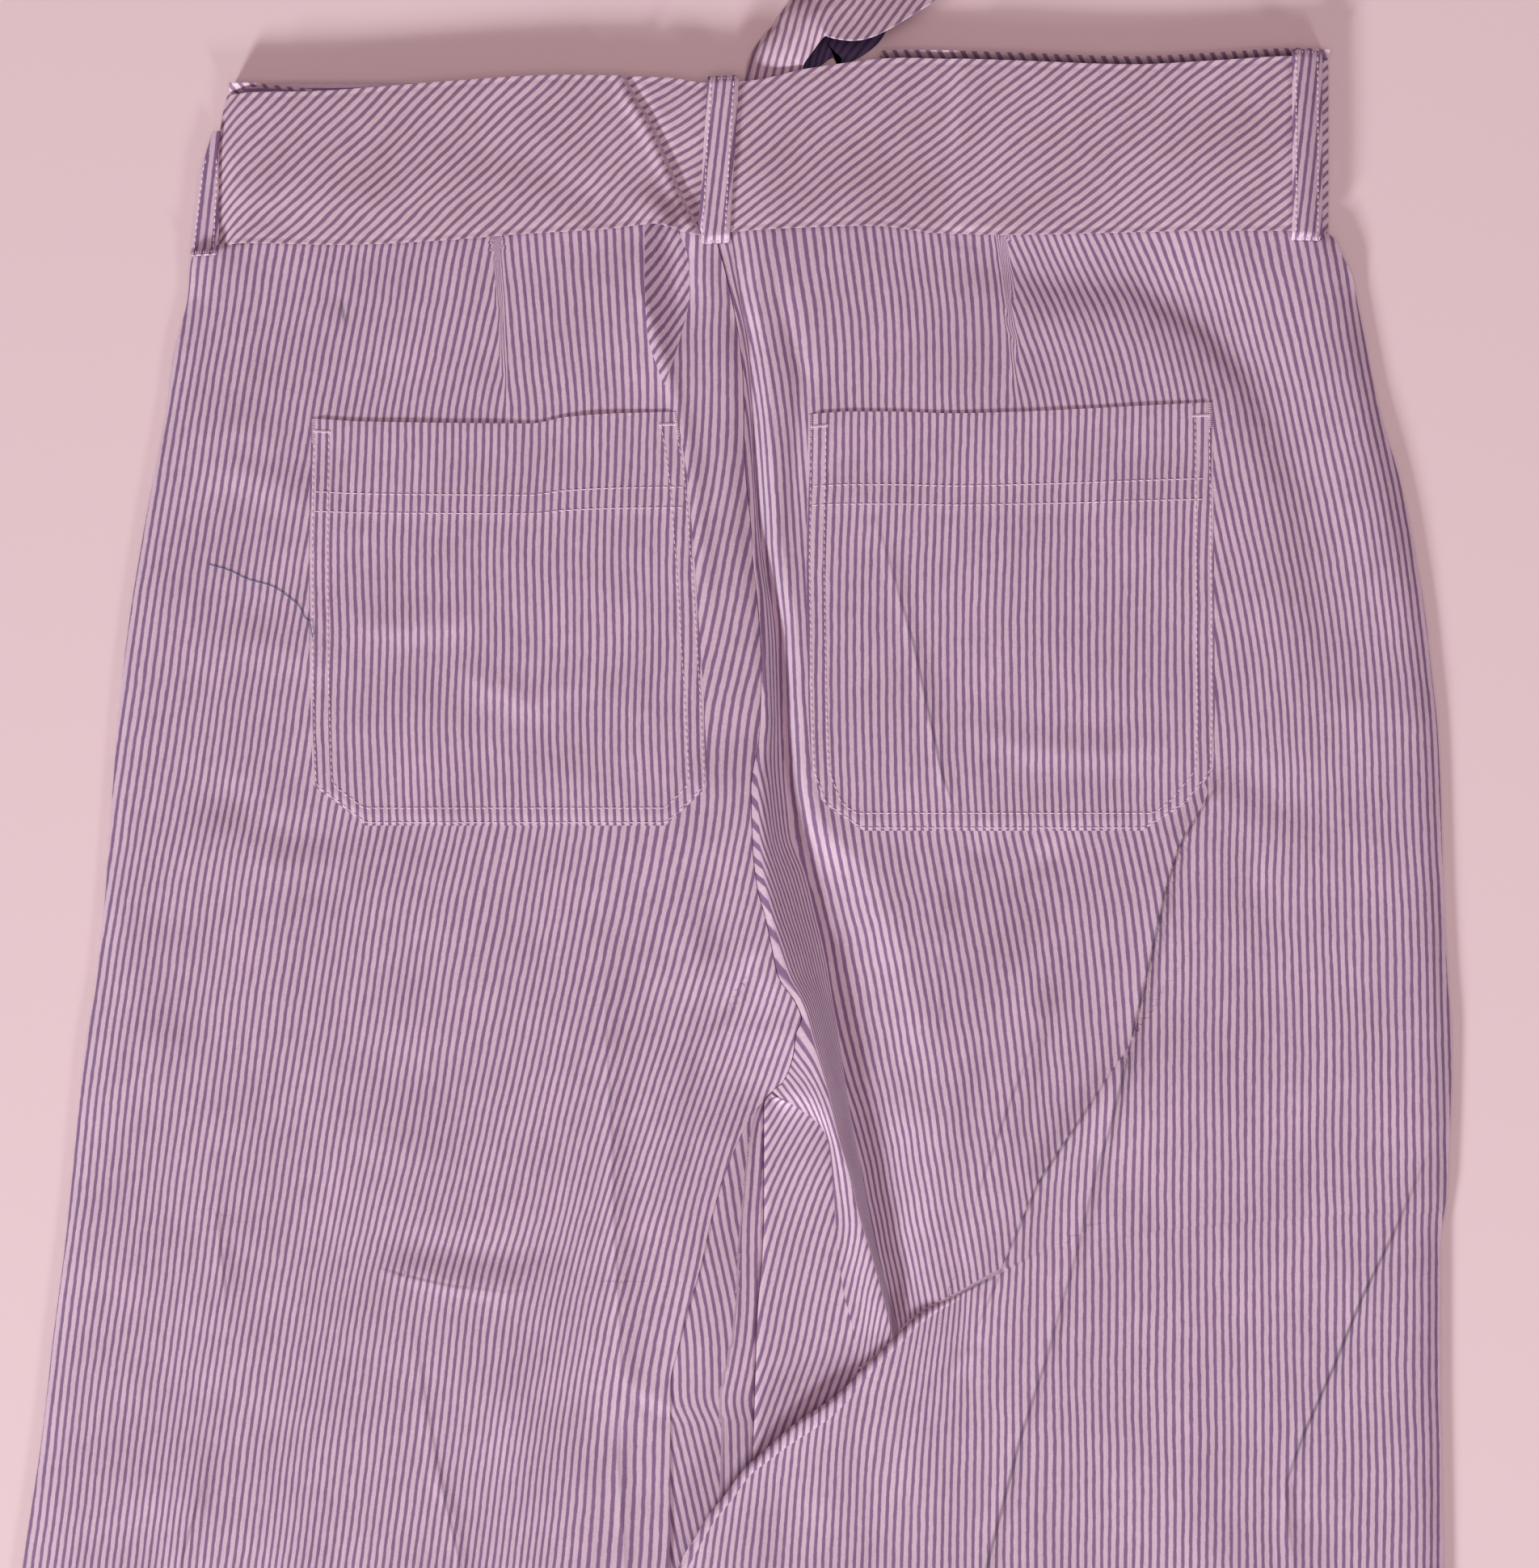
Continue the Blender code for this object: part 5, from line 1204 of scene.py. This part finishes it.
def stitch_row(surface, path, pitch):
    """Both ends of every stitch along a path over a surface, given as (u, v) corners."""
    path = np.array(path, float)
    fine = np.linspace(0, len(path) - 1, 1200)
    order = np.arange(len(path))
    points = on_surface(surface, np.interp(fine, order, path[:, 0]),
                        np.interp(fine, order, path[:, 1]))
    walked = np.concatenate([[0], np.cumsum(np.linalg.norm(np.diff(points, axis=0), axis=1))])
    starts = np.arange(pitch * 0.2, walked[-1] - pitch * STITCH_SHARE, pitch)
    ends = [np.stack([np.interp(at, walked, axis) for axis in points.T], -1)
            for at in (starts, starts + pitch * STITCH_SHARE)]
    return np.stack(ends, 1)


def bar_tack(surface, start, end, count, wide):
    """A bar tack: threads side by side across the line from start to end, given in (u, v)."""
    share = (np.arange(count) + 0.5) / count
    middle = on_surface(surface, mix(start[0], end[0], share), mix(start[1], end[1], share))
    run = middle[-1] - middle[0]
    run = run / np.linalg.norm(run)
    across = np.array((-run[1], run[0], 0)) * wide / 2
    return np.stack([middle - across + run * 0.15, middle + across - run * 0.15], 1)


def threads(name, bars, radius, material, lift, bow=0.2):
    """One mesh of sewing threads: each is a five-sided tube from end to end, thinner at its
    ends, which dip into the cloth, and raised in the middle."""
    along = np.array((0, 0.15, 0.5, 0.85, 1))
    slim = np.array((0.45, 0.95, 1, 0.95, 0.45))
    rise = np.array((-0.5, 0.35, 0.8, 0.35, -0.5)) * bow
    turn = np.arange(5) / 5 * 2 * np.pi
    start, end = bars[:, 0], bars[:, 1]
    run = unit(end - start)
    side = unit(np.stack([-run[:, 1], run[:, 0], 0 * run[:, 0]], -1))
    up = np.cross(side, run)
    up = up * np.where(up[:, 2:] < 0, -1, 1)
    centre = start[:, None] + (end - start)[:, None] * along[:, None]
    centre = centre + up[:, None] * (rise + lift)[:, None]
    spoke = side[:, None] * np.cos(turn)[:, None] + up[:, None] * np.sin(turn)[:, None]
    points = centre[:, :, None] + spoke[:, None] * (slim * radius)[:, None, None]
    points = points.reshape(-1, 3)
    ring = np.arange(25).reshape(5, 5)
    walls = np.stack([ring[:-1], np.roll(ring, -1, 1)[:-1], np.roll(ring, -1, 1)[1:],
                      ring[1:]], -1).reshape(-1, 4)
    faces = (walls[None] + 25 * np.arange(len(bars))[:, None, None]).reshape(-1, 4).tolist()
    for k in range(len(bars)):
        faces.append((ring[0, ::-1] + 25 * k).tolist())
        faces.append((ring[-1] + 25 * k).tolist())
    mesh = bpy.data.meshes.new(name)
    mesh.from_pydata(place(*points.T).tolist(), [], faces)
    mesh.shade_smooth()
    piece = new_object(name, mesh, material)
    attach(piece, "root")
    return piece


# ---------------------------------------------------------------- materials
def linear(hex_colour):
    """sRGB hex to the linear colour that shaders take."""
    value = np.array([int(hex_colour[k:k + 2], 16) for k in (0, 2, 4)]) / 255
    value = np.where(value <= 0.04045, value / 12.92, ((value + 0.055) / 1.055) ** 2.4)
    return (*value.tolist(), 1.0)


def add(tree, kind, settings=(), **inputs):
    """Adds a node with its settings, and sets or links its inputs. A node given as an input
    links by its first output."""
    made = tree.nodes.new("ShaderNode" + kind)
    for key, value in dict(settings).items():
        setattr(made, key, value)
    for key, value in inputs.items():
        socket = made.inputs[int(key[1:])] if key[0] == "i" and key[1:].isdigit() \
            else made.inputs[key.replace("_", " ")]
        if isinstance(value, bpy.types.Node):
            value = value.outputs[0]
        if isinstance(value, bpy.types.NodeSocket):
            tree.links.new(value, socket)
        else:
            socket.default_value = value
    return made


def maths(tree, operation, *values):
    """A Math node of one operation on up to two values."""
    inputs = {"i%d" % k: value for k, value in enumerate(values)}
    return add(tree, "Math", [("operation", operation)], **inputs)


def tint(tree, shader, colour, tone):
    """The material's colour: a colour times a tone."""
    settings = [("data_type", "RGBA"), ("blend_type", "MULTIPLY")]
    tinted = add(tree, "Mix", settings, Factor=1.0, i6=colour, i7=tone)
    tree.links.new(tinted.outputs[2], shader.inputs["Base Color"])


def new_material(name, roughness):
    """An empty material with its Principled BSDF."""
    material = bpy.data.materials.new(name)
    material.use_nodes = True
    shader = material.node_tree.nodes["Principled BSDF"]
    shader.inputs["Roughness"].default_value = roughness
    shader.inputs["IOR"].default_value = 1.45
    return material, material.node_tree, shader


def striped_cotton(name, pale, dark):
    """Cotton shirting, woven with a dyed and an undyed stripe. The fine weave blurs the
    stripe's edges, thick and thin threads make it uneven, and the surface is matt with a
    faint bloom. Painted shade darkens a thin line along each crease. Scales count to the metre."""
    material, tree, shader = new_material(name, 0.88)
    shader.inputs["Sheen Weight"].default_value = 0.12
    shader.inputs["Sheen Roughness"].default_value = 0.5
    threads_at = add(tree, "UVMap", [("uv_map", "threads")])
    parts = add(tree, "SeparateXYZ", i0=threads_at)
    fray_at = add(tree, "Mapping", i0=threads_at, Scale=(1500, 260, 1))
    fray = add(tree, "TexNoise", i0=fray_at, Scale=1.0, Detail=2.0)
    swing = add(tree, "MapRange", i0=fray, i3=-0.11, i4=0.11)
    beyond_at = add(tree, "UVMap", [("uv_map", "beyond")])
    beyond = add(tree, "SeparateXYZ", i0=beyond_at)
    past = maths(tree, "GREATER_THAN", beyond.outputs[1], 0.0)
    chosen = add(tree, "Mix", i0=past, i2=parts.outputs[0], i3=beyond.outputs[0])
    count = maths(tree, "MULTIPLY", chosen, 1 / (STRIPE * MM))
    uneven = maths(tree, "ADD", count, swing)
    share = maths(tree, "FRACT", uneven)
    centred = maths(tree, "SUBTRACT", share, 0.5)
    distance = maths(tree, "ABSOLUTE", centred)
    edge = DARK_SHARE / 2        # the weave blurs it by 0.07 of a stripe's width
    stripe = add(tree, "MapRange", [("interpolation_type", "SMOOTHSTEP")],
                 i0=distance, i1=edge - 0.07, i2=edge + 0.07, i3=1.0, i4=0.0)
    weave_at = add(tree, "Mapping", i0=threads_at, Scale=(2600, 900, 1))
    weave = add(tree, "TexNoise", i0=weave_at, Scale=1.0, Detail=1.0)
    slub_at = add(tree, "Mapping", i0=threads_at, Scale=(900, 45, 1))
    slub = add(tree, "TexNoise", i0=slub_at, Scale=1.0, Detail=2.0)
    colour = add(tree, "Mix", [("data_type", "RGBA")], Factor=stripe,
                 i6=linear(pale), i7=linear(dark))
    grain = maths(tree, "ADD", weave, slub)
    even = add(tree, "MapRange", i0=grain, i1=0.6, i2=1.4, i3=0.9, i4=1.1)
    wash = add(tree, "TexNoise", i0=threads_at, Scale=34.0, Detail=2.0)
    washed = add(tree, "MapRange", i0=wash, i1=0.3, i2=0.7, i3=0.95, i4=1.05)
    mottled = maths(tree, "MULTIPLY", even, washed)
    # painted shade: the colour is darkened along each crease by up to 0.55 of its strength, fading
    # out within about a millimetre of its line
    crease_shade_map = add(tree, "UVMap", [("uv_map", "creases")])
    crease = add(tree, "SeparateXYZ", i0=crease_shade_map)
    away = maths(tree, "ABSOLUTE", crease.outputs[0])
    painted_shade_core = add(tree, "MapRange", [("interpolation_type", "SMOOTHSTEP")], i0=away,
                i1=0.0001, i2=0.001, i3=0.55, i4=0.0)
    painted_crease_darkening = maths(tree, "MULTIPLY", painted_shade_core, crease.outputs[1])
    painted_shade_tone = maths(tree, "SUBTRACT", 1.0, painted_crease_darkening)
    tone = maths(tree, "MULTIPLY", mottled, painted_shade_tone)
    tint(tree, shader, colour.outputs[2], tone)
    bump = add(tree, "Bump", Strength=0.35, Distance=0.0002, Height=weave)
    tree.links.new(bump.outputs[0], shader.inputs["Normal"])
    return material


def plain_cotton(name, colour):
    """Cotton sewing thread, twisted: a random tone along it is a painted glint of caught light."""
    material, tree, shader = new_material(name, 0.7)
    place_at = add(tree, "TexCoord")
    noise = add(tree, "TexNoise", i0=place_at.outputs["Object"], Scale=900.0, Detail=1.0)
    tone = add(tree, "MapRange", i0=noise, i3=0.86, i4=1.08)
    tint(tree, shader, linear(colour), tone)
    return material


def painted_board(name, colour):
    """Matt painted board for the floor."""
    material, _, shader = new_material(name, 0.9)
    shader.inputs["Base Color"].default_value = linear(colour)
    return material


# ---------------------------------------------------------------- camera, light, floor
middle_a = (PHOTO_WIDTH / 2 - PHOTO_ZERO[0]) / PX_PER_MM
middle_d = (PHOTO_HEIGHT / 2 - PHOTO_ZERO[1]) / PX_PER_MM
camera_data = bpy.data.cameras.new("camera")
camera_data.sensor_fit = "HORIZONTAL"
camera_data.sensor_width = 36
camera_data.lens = 36 * CAMERA_HIGH / (PHOTO_WIDTH / PX_PER_MM * MM)
camera = bpy.data.objects.new("camera", camera_data)
camera.location = ((middle_a - ACROSS_MID) * MM, (DOWN_MID - middle_d) * MM, CAMERA_HIGH)
bpy.context.collection.objects.link(camera)
bpy.context.scene.camera = camera
bpy.context.scene.view_settings.view_transform = "Standard"


def soft_light(name, azimuth, elevation, distance, wide, tall, watts, colour):
    """An area light that looks at the middle of the photo's view. Azimuth is measured from the
    top of the photo, clockwise, in degrees."""
    target = np.array(camera.location) * (1, 1, 0)
    turn, rise = np.radians([azimuth, elevation])
    away = np.array([np.sin(turn) * np.cos(rise), np.cos(turn) * np.cos(rise), np.sin(rise)])
    data = bpy.data.lights.new(name, "AREA")
    data.shape = "RECTANGLE"
    data.size = wide
    data.size_y = tall
    data.energy = watts
    data.color = linear(colour)[:3]
    lamp = bpy.data.objects.new(name, data)
    lamp.location = target + away * distance
    lamp.rotation_euler = (np.pi / 2 - rise, 0, np.pi - turn)
    bpy.context.collection.objects.link(lamp)


soft_light("window_light", azimuth=212, elevation=16, distance=4.5, wide=0.70, tall=0.59,
           watts=256, colour=DAYLIGHT)
soft_light("second_window", azimuth=148, elevation=20, distance=4.5, wide=0.79, tall=0.68,
           watts=64, colour=DAYLIGHT)
soft_light("softbox_overhead", azimuth=180, elevation=88, distance=1.9, wide=1.7, tall=1.7,
           watts=14, colour=WARM_LIGHT)
world = bpy.data.worlds.new("room")
bpy.context.scene.world = world
world.use_nodes = True
background = world.node_tree.nodes["Background"]
background.inputs["Color"].default_value = linear(ROOM_LIGHT)
background.inputs["Strength"].default_value = 0.22

floor_size = 3.0
floor_mesh = bpy.data.meshes.new("floor")
corners = [(-floor_size, -floor_size, 0), (floor_size, -floor_size, 0),
           (floor_size, floor_size, 0), (-floor_size, floor_size, 0)]
floor_mesh.from_pydata(corners, [], [(0, 1, 2, 3)])
floor = new_object("floor", floor_mesh, painted_board("painted_board", FLOOR_COLOUR))

# ---------------------------------------------------------------- the cloth
trouser_cotton = striped_cotton("striped_cotton", CLOTH_PALE, CLOTH_DARK)
belt_cotton = striped_cotton("striped_cotton_belt", BELT_PALE, BELT_DARK)

photo_rows = np.arange(PANEL_TOP, PHOTO_FOOT, STEP_DOWN)
leg_rows = np.arange(PHOTO_FOOT, HEM, STEP_LEG)
left_rows = np.concatenate([photo_rows, leg_rows, [HEM]])
left_columns = 1 - (1 - np.linspace(0, 1, 178)) ** 0.92
u, down = np.meshgrid(left_columns, left_rows)
across = mix(left_inner(down), line(LEFT_SIDE, down), u)
surface = (across, down, left_high(across, down))
drift = wander(across, down, LEFT_WANDER) - slack(across, surface[2])
outside, inside, within = left_stripes(across, down)
back_left = shell("back_left_cloth", surface, outside + drift, down, trouser_cotton,
                  "back_left", beyond=(inside + drift, within),
                  creases=painted_crease_shade(across, down, LEFT_PAINTED_CREASE_SHADE))

right_columns = np.concatenate([np.linspace(a, b, n, endpoint=False) for a, b, n in
                                zip(RIGHT_KNOTS[:-1], RIGHT_KNOTS[1:], KNOT_COLUMNS)]
                               + [[1.0]])
upper_rows = np.linspace(PANEL_TOP, TUCK_FOOT, int((TUCK_FOOT - PANEL_TOP) / STEP_DOWN))
upper_a, upper_d, upper_h = right_upper(right_columns, upper_rows)
lower_a, lower_d, lower_h = right_lower(right_columns, upper_a[-1])
left_of_valley = (RIGHT_KNOTS[2] - right_columns) / (RIGHT_KNOTS[2] - RIGHT_KNOTS[1])
gathered = slack(upper_a, upper_h) + line(FLANK_EXTRA, upper_d) * np.clip(left_of_valley, 0, 1)
near_s, far_s, past = right_stripes(upper_a, upper_d)
near_s, far_s = near_s - gathered, far_s - gathered
upper_s = np.where(past < 0, near_s, far_s)
lower_field = trace_stripes(LOWER_LEAN, LOWER_ROW)
own_s = sample(lower_field, lower_a, lower_d)
lower_s = joined_stripes(own_s - slack(lower_a, lower_h), upper_s[-1])
surface = [np.vstack(pair) for pair in ((upper_a, lower_a), (upper_d, lower_d),
                                        (upper_h, lower_h))]
across, down, _ = surface
drift = wander(across, down, RIGHT_WANDER)
back_right = shell("back_right_cloth", surface, np.vstack([near_s, lower_s]) + drift, down,
                   trouser_cotton, "back_right",
                   beyond=(np.vstack([far_s, lower_s]) + drift, np.vstack([past, 0 * lower_a])),
                   creases=painted_crease_shade(across, down, RIGHT_PAINTED_CREASE_SHADE))

surface = tuck_roll()
across, down, _ = surface
roll_s = sample(lower_field, across, down)
roll_s = roll_s + np.interp(across, lower_a[0], (lower_s - own_s)[0])
roll_s = roll_s + wander(across, down, RIGHT_WANDER)
lip = shell("tuck_lip_cloth", surface, roll_s, down, trouser_cotton, None)

for sign, name in ((-1, "front_left"), (1, "front_right")):
    rows = np.concatenate([np.arange(PANEL_TOP, 340, 8), np.arange(340, PHOTO_FOOT, 2.0),
                           leg_rows, [HEM]])
    surface = front_panel(sign, rows)
    stripe = flap_stripes(sign, surface[0], surface[1])
    panel = shell(name + "_cloth", surface, stripe, surface[1], trouser_cotton,
                  name)

sewing_thread = plain_cotton("white_sewing_cotton", STITCH_COLOUR)
pocket_bars = []
for name, table, mouth, gape, leans, seed in (
        ("pocket_left", LEFT_POCKET, LEFT_MOUTH, 0.4, LEFT_POCKET_LEAN, 7.0),
        ("pocket_right", RIGHT_POCKET, RIGHT_MOUTH, 0.25, RIGHT_POCKET_LEAN, 8.0)):
    surface = pocket(table, mouth, gape, seed)
    across, down, _ = surface
    depths = np.arange(110, 270)
    drift = np.cumsum(np.tan(np.radians(line(leans, depths))))
    stripe = across * 1.02 + np.interp(down, depths, drift) + wander(across, down, seed)
    patch = shell(name + "_cloth", surface, stripe, down, trouser_cotton, name,
                  POCKET_SHELL, creases=painted_crease_shade(across, down, POCKET_PAINTED_CREASE_SHADE))
    wide = table[0][2] - table[0][1]
    tall = table[-1][0] - table[0][0]
    corner = 1 - (table[-1][0] - table[-3][0]) / tall
    for hem in HEM_STITCHES:
        path = ((0.01, hem / tall), (0.99, hem / tall))
        pocket_bars.append(stitch_row(surface, path, HEM_PITCH))
    for inset in EDGE_STITCHES:
        near = inset / wide
        low = 1 - inset / tall
        path = ((near, 0.02), (near, corner - near / 2), (near * 1.2, low), (1 - near * 1.2, low),
                (1 - near, corner - near / 2), (1 - near, 0.02))
        pocket_bars.append(stitch_row(surface, path, EDGE_PITCH))
    tack = 7 / wide
    for start, end in (((0.005, 0.03), (tack, 0.03)), ((1 - tack, 0.03), (0.995, 0.03)),
                       ((0.006, 0.0), (0.006, 0.06)), ((0.994, 0.0), (0.994, 0.06))):
        pocket_bars.append(bar_tack(surface, start, end, 14, 1.3))
threads("pocket_stitches", np.concatenate(pocket_bars), POCKET_THREAD, sewing_thread,
        POCKET_SHELL / 2 - 0.06)

belt_columns = np.concatenate([np.linspace(0, 0.05, 24, endpoint=False),
                               np.linspace(0.05, 0.95, 230, endpoint=False),
                               np.linspace(0.95, 1, 24)])
belt_rows = np.cos(np.linspace(0.06, 0.94, 44) * np.pi)      # closer together at both edges
belt_rows = (belt_rows[0] - belt_rows) / (belt_rows[0] - belt_rows[-1])
surface = belt_back(belt_columns, belt_rows)
belt = shell("belt_back_cloth", surface, belt_stripes(*surface), surface[0], belt_cotton,
             "belt_back", 0.6)

for name, start, end in (("belt_front_left", -199, TAIL_SLOT[0]),
                         ("belt_front_right", TAIL_SLOT[1], BELT_RIGHT)):
    surface = belt_front(start, end)
    stripe = (surface[0] - surface[1]) * BIAS
    run = shell(name + "_cloth", surface, stripe, surface[0], belt_cotton,
                name, 1.0)

surface = tail_strip()
across, down, _ = surface
turn = np.radians(mix(16, 37, ease((across - 12) / 16)))
stripe = (across - 20) * np.cos(turn) + (down + 20) * np.sin(turn)
along, side = strip_lengths(*surface)
stripe = mix(stripe, (along + side) * BIAS, ease((across - 70) / 60))
stripe = stripe + 0.5 * rumple(across, down, 25, 11.0)
parts = [[grid[:, cut] for grid in (*surface, stripe, along)]
         for cut in (slice(None, TAIL_UPPER_COLUMNS), slice(TAIL_UPPER_COLUMNS - 1, None))]
tail = shell("belt_tail_cloth", parts[0][:3], parts[0][3], parts[0][4], belt_cotton,
             "belt_tail", 1.0)
# painted shade: the under layer gets the cloth's stripe in dark colours, for the shade inside the
# fold
painted_shade_cotton = striped_cotton("striped_cotton_painted_shade", PAINTED_SHADE_PALE, PAINTED_SHADE_DARK)
inner_tail_painted_shade = shell("belt_tail_inner_painted_shade", parts[1][:3], parts[1][3], parts[1][4],
                   painted_shade_cotton, None, 1.0)

front_band = BELT_CLOTH + GAP + CLOTH / 2
for name, middle, high_at_side in (("waistband_back", BAND_HIGH, 3.6),
                                   ("waistband_front", front_band, front_band)):
    surface = waistband(middle, high_at_side)
    band = shell(name + "_cloth", surface, surface[1], surface[0], trouser_cotton,
                 name)

loop_bars = []
for name, rows in LOOPS:
    surface = loop_strip(rows)
    stripe = surface[0] + 0.12 * surface[1]
    strap = shell(name + "_cloth", surface, stripe, surface[1], trouser_cotton,
                  name, 1.0)
    for u in (0.1, 0.86):
        loop_bars.append(stitch_row(surface, ((u, 0.2), (u, 0.88)), LOOP_PITCH))
    loop_bars.append(bar_tack(surface, (0.02, 0.93), (0.98, 0.93), 9, 1.8))
    if name != "loop_left":
        loop_bars.append(bar_tack(surface, (0.05, 0.16), (0.95, 0.16), 8, 1.4))
threads("loop_stitches", np.concatenate(loop_bars), LOOP_THREAD, sewing_thread, 0.5)

# a loose blue thread end lies on the left hip
route = ((-197, 171.4), (-190, 173.5), (-183.4, 176.6), (-175, 179), (-169, 182.9),
         (-165.5, 186), (-163.4, 190), (-161.5, 192), (-160.6, 197.1))
route = smooth(route, np.linspace(0, len(route) - 1, 40))
across, down = route.T
resting = left_high(across, down) + SHELL / 2 + np.where(across > -161.8, POCKET_LIFT, 0)
route = np.column_stack([route, resting])
loose = np.stack([route[:-1], route[1:] + (route[1:] - route[:-1]) * 0.15], 1)
threads("loose_thread", loose, LOOSE_THREAD, plain_cotton("blue_sewing_cotton", THREAD_BLUE),
        0.1, 0.0)
